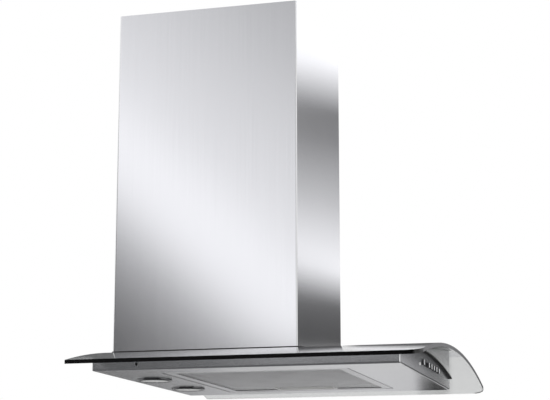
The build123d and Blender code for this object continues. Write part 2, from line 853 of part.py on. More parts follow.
bracket_face = boss_end - motor_bracket_thickness
with BuildPart() as motor_screws:
    with BuildSketch(Plane.YZ.offset(bracket_face)):
        with Locations((-impeller_depth, impeller_height)):
            with PolarLocations(motor_mount_radius, motor_arm_count, start_angle=motor_arm_angle):
                Circle(screw_head_radius)
    extrude(amount=-screw_head_height)
    with BuildSketch(Plane.YZ.offset(bracket_face)):
        with Locations((-impeller_depth, impeller_height)):
            with PolarLocations(motor_mount_radius, motor_arm_count, start_angle=motor_arm_angle):
                Circle(screw_radius)
    extrude(amount=-scroll_inside - bracket_face)
motor_screws.part.label = "motor_screws"
export_step(motor_screws.part, "parts/motor_screws.step")


# Outlet collar on the roof of the box, with the ledge that the closed flaps rest on
rod_level = box_top + rod_height
barrel_floor = rod_level - barrel_radius
flap_radius = duct_radius - duct_wall - flap_room
with BuildPart() as outlet_collar:
    with BuildSketch(Plane.XY.offset(box_top)):
        with Locations((0, -box_middle)):
            Circle(duct_radius + duct_flange)
    extrude(amount=duct_flange_thickness)
    with BuildSketch(Plane.XY.offset(box_top)):
        with Locations((0, -box_middle)):
            Circle(duct_radius)
    extrude(amount=duct_height)
    with BuildSketch(Plane.XY.offset(box_top)):
        with Locations((0, -box_middle)):
            Circle(duct_radius - duct_wall)
            with PolarLocations(duct_screw_ring, duct_screw_count, start_angle=duct_screw_angle):
                Circle(screw_radius + screw_hole_gap)
    extrude(amount=duct_height, mode=Mode.SUBTRACT)
    with BuildSketch(Plane.XY.offset(barrel_floor - slide_gap)):
        with Locations((0, -box_middle)):
            Circle(duct_radius - duct_wall / 2)
            Circle(duct_radius - duct_wall - ledge_width, mode=Mode.SUBTRACT)
    extrude(amount=-ledge_thickness)
    with BuildSketch(Plane.YZ.offset(-duct_radius)):
        with Locations((-box_middle, rod_level)):
            Circle(rod_radius + seat_gap / 2)
    extrude(amount=2 * duct_radius, mode=Mode.SUBTRACT)
outlet_collar.part.label = "outlet_collar"
export_step(outlet_collar.part, "parts/outlet_collar.step")

with BuildPart() as collar_screws:
    with BuildSketch(Plane.XY.offset(box_top + duct_flange_thickness)):
        with Locations((0, -box_middle)):
            with PolarLocations(duct_screw_ring, duct_screw_count, start_angle=duct_screw_angle):
                Circle(screw_head_radius)
    extrude(amount=screw_head_height)
    with BuildSketch(Plane.XY.offset(box_top + duct_flange_thickness)):
        with Locations((0, -box_middle)):
            with PolarLocations(duct_screw_ring, duct_screw_count, start_angle=duct_screw_angle):
                Circle(screw_radius)
    extrude(amount=-duct_flange_thickness - sheet)
collar_screws.part.label = "collar_screws"
export_step(collar_screws.part, "parts/collar_screws.step")

with BuildPart() as flap_rod:
    with BuildSketch(Plane.YZ.offset(-duct_radius + rod_end)):
        with Locations((-box_middle, rod_level)):
            Circle(rod_radius)
    extrude(amount=2 * (duct_radius - rod_end))
flap_rod.part.label = "flap_rod"
export_step(flap_rod.part, "parts/flap_rod.step")


# Two half-round flaps: each hangs on the rod by two barrels, set beside the other's
barrel_length = (flap_radius - barrel_start - barrel_step - barrel_end) / 2
inner_edge = barrel_start + barrel_length
outer_edge = inner_edge + barrel_step
far_edge = outer_edge + barrel_length
for name, side, spans in (
    ("front_flap", -1, ((barrel_start, inner_edge), (-far_edge, -outer_edge))),
    ("rear_flap", 1, ((-inner_edge, -barrel_start), (outer_edge, far_edge))),
):
    with BuildPart() as flap:
        with BuildSketch(Plane.XY.offset(barrel_floor)):
            with Locations((0, -box_middle)):
                Circle(flap_radius)
            with Locations((0, -box_middle - side * (flap_radius - barrel_radius - slide_gap))):
                Rectangle(2 * flap_radius, 2 * flap_radius, mode=Mode.SUBTRACT)
            for start, end in spans:
                with Locations(((start + end) / 2, -box_middle + side * barrel_radius)):
                    Rectangle(end - start, 2 * barrel_radius)
        extrude(amount=flap_thickness)
        for start, end in spans:
            with BuildSketch(Plane.YZ.offset(start)):
                with Locations((-box_middle, rod_level)):
                    Circle(barrel_radius)
            extrude(amount=end - start)
        with BuildSketch(Plane.YZ.offset(-flap_radius)):
            with Locations((-box_middle, rod_level)):
                Circle(rod_radius + running_gap)
        extrude(amount=2 * flap_radius, mode=Mode.SUBTRACT)
    flap.part.label = name
    export_step(flap.part, f"parts/{name}.step")


# Grease filter: a channel frame round a mesh pack, with two hinge pins at the left
mesh_view_width = filter_width - 2 * filter_border
mesh_view_length = filter_length - 2 * filter_border
mesh_floor = filter_floor + filter_sheet + seat_gap
mesh_height = filter_height - 2 * filter_sheet - 2 * seat_gap
handle_right = mesh_view_width / 2
handle_left = handle_right - handle_width
with BuildPart() as filter_frame:
    with BuildSketch(Plane.XY.offset(filter_floor)):
        with Locations((0, -filter_middle)):
            RectangleRounded(filter_width, filter_length, filter_corner)
            Rectangle(mesh_view_width, mesh_view_length, mode=Mode.SUBTRACT)
    extrude(amount=filter_height)
    with BuildSketch(Plane.XY.offset(filter_floor + filter_sheet)):
        with Locations((0, -filter_middle)):
            Rectangle(filter_width - 2 * filter_sheet, filter_length - 2 * filter_sheet)
    extrude(amount=filter_height - 2 * filter_sheet, mode=Mode.SUBTRACT)
    with BuildSketch(Plane.YZ.offset(filter_width / 2)):
        with Locations((-filter_middle, nose_floor + nose_thickness / 2)):
            Rectangle(nose_width + 2 * slide_gap, nose_thickness + 2 * slide_gap)
    extrude(amount=-2 * filter_sheet, mode=Mode.SUBTRACT)
    for depth, reach in ((filter_back, -pin_length), (filter_front, pin_length)):
        with BuildSketch(Plane.XZ.offset(depth)):
            with Locations((pin_x, pin_height)):
                Circle(pin_radius)
        extrude(amount=reach)
filter_frame.part.label = "filter_frame"
export_step(filter_frame.part, "parts/filter_frame.step")

# Two expanded sheets, one against each flange of the frame
with BuildPart() as filter_mesh:
    with BuildSketch(Plane.XY.offset(mesh_floor)):
        mesh_margin = 2 * filter_sheet + 2 * seat_gap
        with Locations((0, -filter_middle)):
            Rectangle(filter_width - mesh_margin, filter_length - mesh_margin)
        with Locations((filter_width / 2 - (filter_border + handle_width) / 2, -filter_middle)):
            Rectangle(
                handle_width + filter_border + seat_gap,
                handle_length + 2 * seat_gap,
                mode=Mode.SUBTRACT,
            )
    extrude(amount=mesh_height)
    with BuildSketch(Plane.XY.offset(mesh_floor + mesh_sheet)):
        with Locations((0, -filter_middle)):
            Rectangle(filter_width, filter_length)
    extrude(amount=mesh_height - 2 * mesh_sheet, mode=Mode.SUBTRACT)
filter_mesh.part.label = "filter_mesh"
export_step(filter_mesh.part, "parts/filter_mesh.step")

# Handle: a finger pocket open below, sunk in the mesh beside the frame
with BuildPart() as filter_handle:
    with BuildSketch(Plane.XY.offset(filter_floor)):
        with Locations(((handle_left + handle_right) / 2 - seat_gap, -filter_middle)):
            Rectangle(handle_width - 2 * seat_gap, handle_length)
    extrude(amount=filter_height)
    with BuildSketch(Plane.XY.offset(filter_floor)):
        with Locations(((handle_left + handle_right) / 2, -filter_middle)):
            RectangleRounded(handle_width - 2 * handle_wall, handle_length - 2 * handle_wall, filter_corner)
    extrude(amount=filter_height - filter_sheet, mode=Mode.SUBTRACT)
    with BuildSketch(Plane.YZ.offset(handle_right)):
        with Locations((-filter_middle, nose_floor + nose_thickness / 2)):
            Rectangle(nose_width + 2 * slide_gap, nose_thickness + 2 * slide_gap)
    extrude(amount=-2 * handle_wall, mode=Mode.SUBTRACT)
filter_handle.part.label = "filter_handle"
export_step(filter_handle.part, "parts/filter_handle.step")

# Latch: a finger bar in the pocket with a nose out through the frame
latch_left = handle_right - latch_from_wall - latch_thickness
nose_tip = filter_width / 2 + filter_gap - slide_gap - seat_gap
with BuildPart() as filter_latch:
    with BuildSketch(Plane.XY.offset(filter_floor + slide_gap)):
        with Locations((latch_left + latch_thickness / 2, -filter_middle)):
            Rectangle(latch_thickness, latch_length)
    extrude(amount=filter_height - filter_sheet - 2 * slide_gap)
    with BuildSketch(Plane.XY.offset(nose_floor)):
        with Locations(((latch_left + nose_tip) / 2, -filter_middle)):
            Rectangle(nose_tip - latch_left, nose_width)
    extrude(amount=nose_thickness)
filter_latch.part.label = "filter_latch"
export_step(filter_latch.part, "parts/filter_latch.step")

# Clips on the body's floor in which the hinge pins turn
clip_back = filter_back - filter_gap - slide_gap
clip_front = filter_front + filter_gap + slide_gap
with BuildPart() as filter_clips:
    for depth, reach in ((clip_back, -clip_length), (clip_front, clip_length)):
        with BuildSketch(Plane.XZ.offset(depth)):
            with Locations((pin_x, sheet + clip_height / 2)):
                Rectangle(clip_width, clip_height)
            with Locations((pin_x, pin_height)):
                Circle(pin_radius + running_gap, mode=Mode.SUBTRACT)
        extrude(amount=reach)
filter_clips.part.label = "filter_clips"
export_step(filter_clips.part, "parts/filter_clips.step")


# Lamps: bezel clipped in the floor, frosted lens, reflector can and bulb
lens_radius = bezel_radius - lens_inset
lens_floor = lens_recess - bezel_height
lens_top = lens_floor + lens_thickness
can_floor = lens_top + seat_gap
for side, (x, y) in zip(("left", "right"), lamp_places):
    with BuildPart() as bezel:
        with BuildSketch(Plane.XY.offset(-bezel_height)):
            with Locations((x, y)):
                Circle(bezel_radius)
        extrude(amount=bezel_height)
        fillet(bezel.edges().group_by(Axis.Z)[0], radius=bezel_height / 2)
        with BuildSketch(Plane.XY.offset(-bezel_height)):
            with Locations((x, y)):
                Circle(lamp_hole_radius - seat_gap)
        extrude(amount=bezel_height + lens_top)
        with BuildSketch(Plane.XY.offset(sheet + seat_gap)):
            with Locations((x, y)):
                Circle(lamp_hole_radius + sheet / 2)
        extrude(amount=lens_top - sheet - seat_gap)
        with BuildSketch(Plane.XY.offset(-bezel_height)):
            with Locations((x, y)):
                Circle(bezel_radius - bezel_lip)
        extrude(amount=bezel_height + lens_top, mode=Mode.SUBTRACT)
        with BuildSketch(Plane.XY.offset(lens_floor)):
            with Locations((x, y)):
                Circle(lens_radius + seat_gap)
        extrude(amount=lens_thickness, mode=Mode.SUBTRACT)
    bezel.part.label = f"{side}_lamp_bezel"
    export_step(bezel.part, f"parts/{side}_lamp_bezel.step")

    with BuildPart() as lens:
        with BuildSketch(Plane.XY.offset(lens_floor)):
            with Locations((x, y)):
                Circle(lens_radius)
        extrude(amount=lens_thickness)
    lens.part.label = f"{side}_lamp_lens"
    export_step(lens.part, f"parts/{side}_lamp_lens.step")

with BuildPart() as lamp_cans:
    with BuildSketch(Plane.XY.offset(can_floor)):
        with Locations(lamp_places):
            Circle(lamp_hole_radius)
    extrude(amount=lamp_can_height, taper=lamp_can_taper)
    with BuildSketch(Plane.XY.offset(can_floor)):
        with Locations(lamp_places):
            Circle(lamp_hole_radius - lamp_can_wall)
    extrude(amount=lamp_can_height - lamp_can_wall, taper=lamp_can_taper, mode=Mode.SUBTRACT)
lamp_cans.part.label = "lamp_cans"
export_step(lamp_cans.part, "parts/lamp_cans.step")

with BuildPart() as lamp_bulbs:
    with BuildSketch(Plane.XY.offset(can_floor + lamp_can_height - lamp_can_wall)):
        with Locations(lamp_places):
            Circle(bulb_radius)
    extrude(amount=-bulb_length)
    fillet(lamp_bulbs.edges().group_by(Axis.Z)[0], radius=bulb_radius / 2)
lamp_bulbs.part.label = "lamp_bulbs"
export_step(lamp_bulbs.part, "parts/lamp_bulbs.step")


# Push buttons through the front panel, each with a lip behind it and a stem
lip_depth = front_inside - slide_gap
stem_depth = lip_depth - button_lip_thickness
for number, x in enumerate(button_xs, start=1):
    with BuildPart() as button:
        with BuildSketch(Plane.XZ.offset(stem_depth)):
            with Locations((x, button_row)):
                RectangleRounded(button_width, button_height, button_corner)
        extrude(amount=body_depth + button_out - stem_depth)
        fillet(button.faces().sort_by(Axis.Y)[0].edges(), radius=button_lip / 2)
        with BuildSketch(Plane.XZ.offset(stem_depth)):
            with Locations((x, button_row)):
                Rectangle(button_width + 2 * button_lip, button_height + 2 * button_lip)
        extrude(amount=button_lip_thickness)
        with BuildSketch(Plane.XZ.offset(stem_depth)):
            with Locations((x, button_row)):
                Rectangle(stem_size, stem_size)
        extrude(amount=-stem_length)
    button.part.label = f"button_{number}"
    export_step(button.part, f"parts/button_{number}.step")

# Switch housing behind the buttons, on two ears that reach the panel
housing_front = stem_depth - button_travel - slide_gap
housing_back = housing_front - housing_depth
housing_middle_x = (housing_left + housing_right) / 2
housing_width = housing_right - housing_left
housing_height = housing_top - housing_floor
ear_places = [
    (housing_left - housing_ear / 2, housing_middle_z),
    (housing_right + housing_ear / 2, housing_middle_z),
]
with BuildPart() as switch_housing:
    with BuildSketch(Plane.XZ.offset(housing_back)):
        with Locations((housing_middle_x, housing_middle_z)):
            Rectangle(housing_width, housing_height)
    extrude(amount=housing_depth)
    with BuildSketch(Plane.XZ.offset(housing_front)):
        with Locations(ear_places):
            Rectangle(housing_ear, housing_height)
    extrude(amount=front_inside - seat_gap - housing_front)
    with BuildSketch(Plane.XZ.offset(housing_back)):
        with Locations(ear_places):
            Rectangle(housing_ear, housing_height)
    extrude(amount=housing_depth)
    with BuildSketch(Plane.XZ.offset(housing_front)):
        with Locations(button_places):
            Rectangle(stem_size + 2 * slide_gap, stem_size + 2 * slide_gap)
    extrude(amount=-housing_depth + sheet, mode=Mode.SUBTRACT)
switch_housing.part.label = "switch_housing"
export_step(switch_housing.part, "parts/switch_housing.step")

with BuildPart() as switch_board:
    with BuildSketch(Plane.XZ.offset(housing_back - seat_gap)):
        with Locations((housing_middle_x, housing_middle_z)):
            Rectangle(housing_width, housing_height)
    extrude(amount=-board_thickness)
switch_board.part.label = "switch_board"
export_step(switch_board.part, "parts/switch_board.step")

# Dark speed window, flush with the panel
with BuildPart() as speed_window:
    with BuildSketch(Plane.XZ.offset(front_inside - seat_gap)):
        with Locations((window_x, button_row)):
            Rectangle(window_width + 2 * button_lip, window_height + 2 * button_lip)
    extrude(amount=-button_lip_thickness)
    with BuildSketch(Plane.XZ.offset(front_inside - seat_gap)):
        with Locations((window_x, button_row)):
            Rectangle(window_width - 2 * seat_gap, window_height - 2 * seat_gap)
    extrude(amount=sheet + seat_gap)
speed_window.part.label = "speed_window"
export_step(speed_window.part, "parts/speed_window.step")

# Domed indicator lens
with BuildPart() as indicator_lens:
    with BuildSketch(Plane.XZ.offset(stem_depth)):
        with Locations((indicator_x, indicator_height)):
            Circle(indicator_radius - seat_gap)
    extrude(amount=body_depth + indicator_out - stem_depth)
    fillet(indicator_lens.faces().sort_by(Axis.Y)[0].edges(), radius=indicator_out / 2)
    with BuildSketch(Plane.XZ.offset(front_inside - seat_gap)):
        with Locations((indicator_x, indicator_height)):
            Circle(indicator_radius + button_lip)
    extrude(amount=-button_lip_thickness)
indicator_lens.part.label = "indicator_lens"
export_step(indicator_lens.part, "parts/indicator_lens.step")


# Control box on the body's floor, its lid, and the lamp transformer beside it
control_place = (control_box_x, control_box_setback - body_depth)
lid_floor = sheet + 2 * seat_gap + control_box_height - control_box_wall
board_margin = 2 * (control_box_wall + board_room)
with BuildPart() as control_box:
    with BuildSketch(Plane.XY.offset(sheet + seat_gap)):
        with Locations(control_place):
            Rectangle(control_box_width, control_box_length)
    extrude(amount=control_box_height - control_box_wall)
    offset(amount=-control_box_wall, openings=control_box.faces().sort_by(Axis.Z)[-1])
control_box.part.label = "control_box"
export_step(control_box.part, "parts/control_box.step")

with BuildPart() as control_lid:
    with BuildSketch(Plane.XY.offset(lid_floor)):
        with Locations(control_place):
            Rectangle(control_box_width, control_box_length)
    extrude(amount=control_box_wall)
control_lid.part.label = "control_lid"
export_step(control_lid.part, "parts/control_lid.step")

with BuildPart() as control_board:
    with BuildSketch(Plane.XY.offset(sheet + 2 * seat_gap + control_box_wall)):
        with Locations(control_place):
            Rectangle(control_box_width - board_margin, control_box_length - board_margin)
    extrude(amount=board_thickness)
control_board.part.label = "control_board"
export_step(control_board.part, "parts/control_board.step")

transformer_place = (transformer_x, transformer_setback - body_depth)
with BuildPart() as lamp_transformer:
    with BuildSketch(Plane.XY.offset(sheet + seat_gap)):
        with Locations(transformer_place):
            Rectangle(core_width, core_length)
    extrude(amount=core_height)
    with BuildSketch(Plane.XY.offset(sheet + seat_gap)):
        with Locations(transformer_place):
            Rectangle(coil_width, coil_length)
    extrude(amount=coil_height)
lamp_transformer.part.label = "lamp_transformer"
export_step(lamp_transformer.part, "parts/lamp_transformer.step")


# Terminal box on the left side of the motor box, with the gland of the mains inlet
terminal_depth = box_middle - terminal_box_setback
terminal_middle = box_top - terminal_box_drop
terminal_roof = terminal_middle + terminal_box_height / 2
terminal_side = -half_box - seat_gap
inlet_place = (terminal_side - terminal_box_width / 2, -terminal_depth)
with BuildPart() as terminal_box:
    with BuildSketch(Plane.XY.offset(terminal_roof)):
        with Locations(inlet_place):
            Rectangle(terminal_box_width, terminal_box_length)
    extrude(amount=-terminal_box_height)
    fillet(terminal_box.faces().sort_by(Axis.X)[0].edges(), radius=fold_radius)
    with BuildSketch(Plane.YZ.offset(terminal_side)):
        with Locations((-terminal_depth, terminal_middle)):
            Rectangle(
                terminal_box_length - 2 * terminal_box_wall,
                terminal_box_height - 2 * terminal_box_wall,
            )
    extrude(amount=terminal_box_wall - terminal_box_width, mode=Mode.SUBTRACT)
    with BuildSketch(Plane.XY.offset(terminal_roof)):
        with Locations(inlet_place):
            Circle(gland_bore + gland_wall + screw_hole_gap)
    extrude(amount=-gland_seat, mode=Mode.SUBTRACT)
terminal_box.part.label = "terminal_box"
export_step(terminal_box.part, "parts/terminal_box.step")

block_place = (-terminal_depth, terminal_middle - block_drop)
with BuildPart() as terminal_block:
    with BuildSketch(Plane.YZ.offset(terminal_side - seat_gap)):
        with Locations(block_place):
            Rectangle(block_ways * block_pitch, block_height)
    extrude(amount=-block_thickness)
    with BuildSketch(Plane.YZ.offset(terminal_side - seat_gap - block_thickness)):
        with Locations(block_place):
            with GridLocations(block_pitch, block_hole_pitch, block_ways, 2):
                Circle(block_hole)
    extrude(amount=block_hole_depth, mode=Mode.SUBTRACT)
terminal_block.part.label = "terminal_block"
export_step(terminal_block.part, "parts/terminal_block.step")

with BuildPart() as cable_gland:
    with BuildSketch(Plane.XY.offset(terminal_roof)):
        with Locations(inlet_place):
            RegularPolygon(gland_radius, 6)
    extrude(amount=gland_height / 2)
    with BuildSketch(Plane.XY.offset(terminal_roof - gland_seat)):
        with Locations(inlet_place):
            Circle(gland_bore + gland_wall)
    extrude(amount=gland_height + gland_seat)
    with BuildSketch(Plane.XY.offset(terminal_roof - gland_seat)):
        with Locations(inlet_place):
            Circle(gland_bore)
    extrude(amount=gland_height + gland_seat, mode=Mode.SUBTRACT)
cable_gland.part.label = "cable_gland"
export_step(cable_gland.part, "parts/cable_gland.step")


# Motor capacitor on the right side of the box, in its strap
capacitor_depth = box_middle - capacitor_setback
capacitor_middle = box_top - capacitor_drop
capacitor_place = (half_box + strap_thickness + capacitor_radius, -capacitor_depth)
strap_reach = 2 * (capacitor_radius + strap_foot)
with BuildPart() as capacitor:
    with BuildSketch(Plane.XY.offset(capacitor_middle - capacitor_length / 2)):
        with Locations(capacitor_place):
            Circle(capacitor_radius - seat_gap)
    extrude(amount=capacitor_length)
    fillet(capacitor.edges().filter_by(GeomType.CIRCLE), radius=capacitor_edge)
capacitor.part.label = "capacitor"
export_step(capacitor.part, "parts/capacitor.step")

with BuildPart() as capacitor_clip:
    with BuildSketch(Plane.XY.offset(capacitor_middle - strap_height / 2)):
        with Locations(capacitor_place):
            Circle(capacitor_radius + strap_thickness)
        with Locations((half_box + strap_thickness / 2 + seat_gap, -capacitor_depth)):
            Rectangle(strap_thickness, strap_reach)
        with Locations((half_box, -capacitor_depth)):
            Rectangle(2 * seat_gap, strap_reach, mode=Mode.SUBTRACT)
        with Locations(capacitor_place):
            Circle(capacitor_radius, mode=Mode.SUBTRACT)
    extrude(amount=strap_height)
capacitor_clip.part.label = "capacitor_clip"
export_step(capacitor_clip.part, "parts/capacitor_clip.step")
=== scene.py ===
# %% [markdown]
# # A curved glass cooker hood, finished and lit
# The hood's shape is already made: every sheet, seal, screw and lamp comes in as
# a solid of its own, in metres, with the wall at Y = 0 and the underside of the
# steel body at Z = 0. This lesson gives those pieces their finishes, adds a thin
# black bead that isn't among them, and sets up the studio and the camera.

import json
import math

import bmesh
import bpy
from mathutils import Matrix, Vector


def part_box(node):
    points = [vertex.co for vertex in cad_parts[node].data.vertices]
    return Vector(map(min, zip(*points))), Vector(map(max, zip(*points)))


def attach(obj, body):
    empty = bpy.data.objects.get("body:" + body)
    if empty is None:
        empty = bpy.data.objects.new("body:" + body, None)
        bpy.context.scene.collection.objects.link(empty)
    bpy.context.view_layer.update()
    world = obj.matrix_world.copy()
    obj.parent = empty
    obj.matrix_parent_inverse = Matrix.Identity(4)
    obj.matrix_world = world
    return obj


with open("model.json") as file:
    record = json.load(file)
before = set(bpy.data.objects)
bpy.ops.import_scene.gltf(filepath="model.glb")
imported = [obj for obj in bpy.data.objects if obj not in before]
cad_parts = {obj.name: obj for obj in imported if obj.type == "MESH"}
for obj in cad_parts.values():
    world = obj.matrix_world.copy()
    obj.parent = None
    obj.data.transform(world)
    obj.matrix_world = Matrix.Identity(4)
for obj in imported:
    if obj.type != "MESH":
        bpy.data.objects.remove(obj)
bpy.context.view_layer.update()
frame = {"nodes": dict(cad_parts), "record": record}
hood = frame["nodes"]

# %% [markdown]
# ## Writing shader maths as sums
# A finish is a small network of nodes. Wiring it by hand is slow to read, so one
# class wraps a socket: `grain * 0.2 + 0.5` then adds the two Math nodes itself.
# Each operator has its reflected form too, so that `1 - mask` works. Plain numbers
# stay in Python, and only what varies over a surface needs nodes.


# %% A socket that can be added and multiplied
class Wire:
    """An output socket in a network, with sums written as usual."""

    def __init__(self, network, socket):
        self.network = network
        self.socket = socket

    def sum_with(self, operation, first, second):
        settings = {"operation": operation}
        return self.network.node("ShaderNodeMath", settings, {0: first, 1: second})

    def __add__(self, other):
        return self.sum_with("ADD", self, other)

    __radd__ = __add__

    def __sub__(self, other):
        return self.sum_with("SUBTRACT", self, other)

    def __rsub__(self, other):
        return self.sum_with("SUBTRACT", other, self)

    def __mul__(self, other):
        return self.sum_with("MULTIPLY", self, other)

    __rmul__ = __mul__

    def __truediv__(self, other):
        return self.sum_with("DIVIDE", self, other)

    def __rtruediv__(self, other):
        return self.sum_with("DIVIDE", other, self)

    def __pow__(self, other):
        return self.sum_with("POWER", self, other)

    def __rpow__(self, other):
        return self.sum_with("POWER", other, self)

    def __abs__(self):
        return self.network.node("ShaderNodeMath", {"operation": "ABSOLUTE"}, {0: self})

    def above(self, level):
        return self.sum_with("GREATER_THAN", self, level)

    def most(self, other):
        return self.sum_with("MAXIMUM", self, other)

    def eased(self, low, high):
        """0 below low, 1 above high, and smooth between."""
        return self.network.node(
            "ShaderNodeMapRange",
            {"interpolation_type": "SMOOTHSTEP"},
            {"Value": self, "From Min": low, "From Max": high},
        )


operators = [name.strip("_") for name in vars(Wire) if name in vars(float) and name != "__doc__"]
print("operators:", ", ".join(operators))

# %% [markdown]
# ## One method for every other node
# Blender's nodes need three things: a type, a few settings, and values or links
# for their sockets. Settings come first, because choosing one can change which
# sockets a node has. The same class then serves the finishes, the studio's cards
# and the world.


# %% A network of nodes
class Network:
    """A node tree that hands back wires."""

    def __init__(self, tree):
        self.tree = tree
        tree.nodes.clear()

    def node(self, kind, settings=None, sockets=None, output=0):
        made = self.tree.nodes.new(kind)
        for name, value in (settings or {}).items():
            if name == "stops":
                ramp = made.color_ramp
                while len(ramp.elements) < len(value):
                    ramp.elements.new(1.0)
                for element, (place, colour) in zip(ramp.elements, value):
                    element.position = place
                    element.color = (*colour, 1.0)
            else:
                setattr(made, name, value)
        for key, value in (sockets or {}).items():
            self.plug(value, self.pick(made.inputs, key))
        if made.outputs:
            return Wire(self, self.pick(made.outputs, output))

    def pick(self, sockets, key):
        """A socket by its number or its name, among those that the settings show."""
        usable = [socket for socket in sockets if socket.enabled]
        if isinstance(key, int):
            return usable[key]
        return next(socket for socket in usable if socket.name == key)

    def plug(self, value, socket):
        if isinstance(value, Wire):
            self.tree.links.new(value.socket, socket)
        elif isinstance(value, tuple) and len(value) == 3 and socket.type == "RGBA":
            socket.default_value = (*value, 1.0)
        else:
            socket.default_value = value

    def parts(self, vector):
        """The X, Y and Z of a vector, as three wires."""
        split = self.node("ShaderNodeSeparateXYZ", {}, {0: vector}).socket.node
        return [Wire(self, socket) for socket in split.outputs]

    def stretched(self, vector, scale):
        """A place times one number for each axis: the larger, the finer the pattern."""
        return self.node("ShaderNodeVectorMath", {"operation": "MULTIPLY"}, {0: vector, 1: scale})

    def blend(self, factor, first, second):
        """From the first colour at 0 to the second at 1."""
        return self.node(
            "ShaderNodeMix",
            {"data_type": "RGBA"},
            {"Factor": factor, "A": first, "B": second},
        )

    def noise(self, vector, scale, detail=2.0, roughness=0.5):
        return self.node(
            "ShaderNodeTexNoise",
            {},
            {"Vector": vector, "Scale": scale, "Detail": detail, "Roughness": roughness},
        )

    def bump(self, height, distance, strength=1.0):
        return self.node(
            "ShaderNodeBump",
            {},
            {"Height": height, "Distance": distance, "Strength": strength},
        )


helpers = ("parts", "stretched", "blend", "noise", "bump")
print("one method for any node, and", len(helpers), "short cuts:", ", ".join(helpers))


# %% [markdown]
# ## A finish is a network with one shader
# Each finish is a material whose pattern is laid out in the object's own metres,
# so a grain keeps its size on every piece and moves with it. `shade` sets the
# Principled shader: constants go straight on its sockets, and what varies over
# the surface is linked. Finishes are kept by the name of the slot they fill.


# %% A material that takes its pattern from the object's own metres
SQUARELY = 0.75


class Finish(Network):
    """A material with its place and its facing at hand, and one way to end it."""

    def __init__(self, name):
        self.material = bpy.data.materials.new(name)
        self.material.use_nodes = True
        super().__init__(self.material.node_tree)
        self.place = self.node("ShaderNodeTexCoord", {}, {}, "Object")
        self.facing = self.node("ShaderNodeNewGeometry", {}, {}, "Normal")

    def shade(self, **sockets):
        named = {name.replace("_", " "): value for name, value in sockets.items()}
        shader = self.node("ShaderNodeBsdfPrincipled", {}, named)
        self.node("ShaderNodeOutputMaterial", {}, {"Surface": shader})
        print(self.material.name, "is made of", len(self.tree.nodes), "nodes")
        return self.material

    def side(self, axis):
        """1 where the surface faces along an axis, and 0 elsewhere."""
        return abs(self.parts(self.facing)["xyz".index(axis)]).above(SQUARELY)


finishes = {}
slots = sorted({row["material_slot"] for row in frame["record"]["subparts"]})
print(len(slots), "slots to fill:", ", ".join(slots))

# %% [markdown]
# ## Brushed stainless steel
# The covers and the body are stainless sheet, rubbed with a belt so that fine
# parallel scratches run one way. Light spreads across the scratches, which is
# what makes the metal look satin. A very stretched noise gives the scratches: it
# is hundreds of times finer across than along. On the chimney they run upright,
# along the sheet. On the body they run level: across the hood in front and below,
# and from front to back on the side walls. Anisotropic shading would be another
# way, but it shows no single scratches close up.

# %% Scratches of a brushed sheet
SCRATCH_ACROSS = 2600.0
SCRATCH_ALONG = 5.0
CLOUD = 7.0


def scratches(finish, upright):
    """Noise stretched along the brushing: the wire runs from 0 to 1."""
    fine, long = SCRATCH_ACROSS, SCRATCH_ALONG
    if upright:
        return finish.noise(finish.stretched(finish.place, (fine, fine, long)), 1.0)
    standing = finish.noise(finish.stretched(finish.place, (long, long, fine)), 1.0)
    lying = finish.noise(finish.stretched(finish.place, (long, fine, fine)), 1.0)
    return standing + finish.side("z") * (lying - standing)


def brushed_steel(name, upright):
    steel = Finish(name)
    grain = scratches(steel, upright)
    cloud = steel.noise(steel.place, CLOUD, detail=3.0)
    tone = steel.blend(grain * 0.8 + cloud * 0.2, (0.68, 0.685, 0.695), (0.80, 0.80, 0.81))
    return steel.shade(
        Base_Color=tone,
        Metallic=1.0,
        Roughness=grain * 0.08 + cloud * 0.05 + 0.15,
        Normal=steel.bump(grain, 0.00004, 0.3),
    )


finishes["stainless"] = brushed_steel("brushed_steel_level", upright=False)
upright_steel = brushed_steel("brushed_steel_upright", upright=True)
scratch_size = round(1000 / SCRATCH_ACROSS, 2), round(1000 / SCRATCH_ALONG)
print("scratches %s mm wide and %s mm long" % scratch_size)

# %% [markdown]
# ## Galvanised steel
# The inner boxes and brackets aren't polished. Molten zinc sets on them in flat
# crystals, the spangle, each reflecting a little differently. Voronoi cells are
# exactly that kind of pattern: one random value per crystal changes its tone and
# its roughness, and sets it a hair above or below its neighbours.

# %% Zinc spangle
SPANGLE = 130.0
zinc = Finish("galvanised_sheet")
crystal = zinc.node("ShaderNodeTexVoronoi", {}, {"Vector": zinc.place, "Scale": SPANGLE}, "Color")
shine = zinc.parts(crystal)[0]
finishes["galvanised"] = zinc.shade(
    Base_Color=zinc.blend(shine, (0.46, 0.48, 0.50), (0.62, 0.64, 0.66)),
    Metallic=1.0,
    Roughness=shine * 0.16 + 0.34,
    Normal=zinc.bump(shine, 0.00002, 0.3),
)
print("spangle about", round(1000 / SPANGLE), "mm across")

# %% [markdown]
# ## Tinted glass
# The canopy is 5 mm float glass, bent hot over a mould and ground at its edges.
# Through the sheet it is a light grey, but at the edge the light has travelled
# far inside, and it turns almost black. A tint painted on the surface can't do
# that, so the grey is in the volume: absorption takes the same share of the
# light for each millimetre. The marks of wiping show only in the gloss.

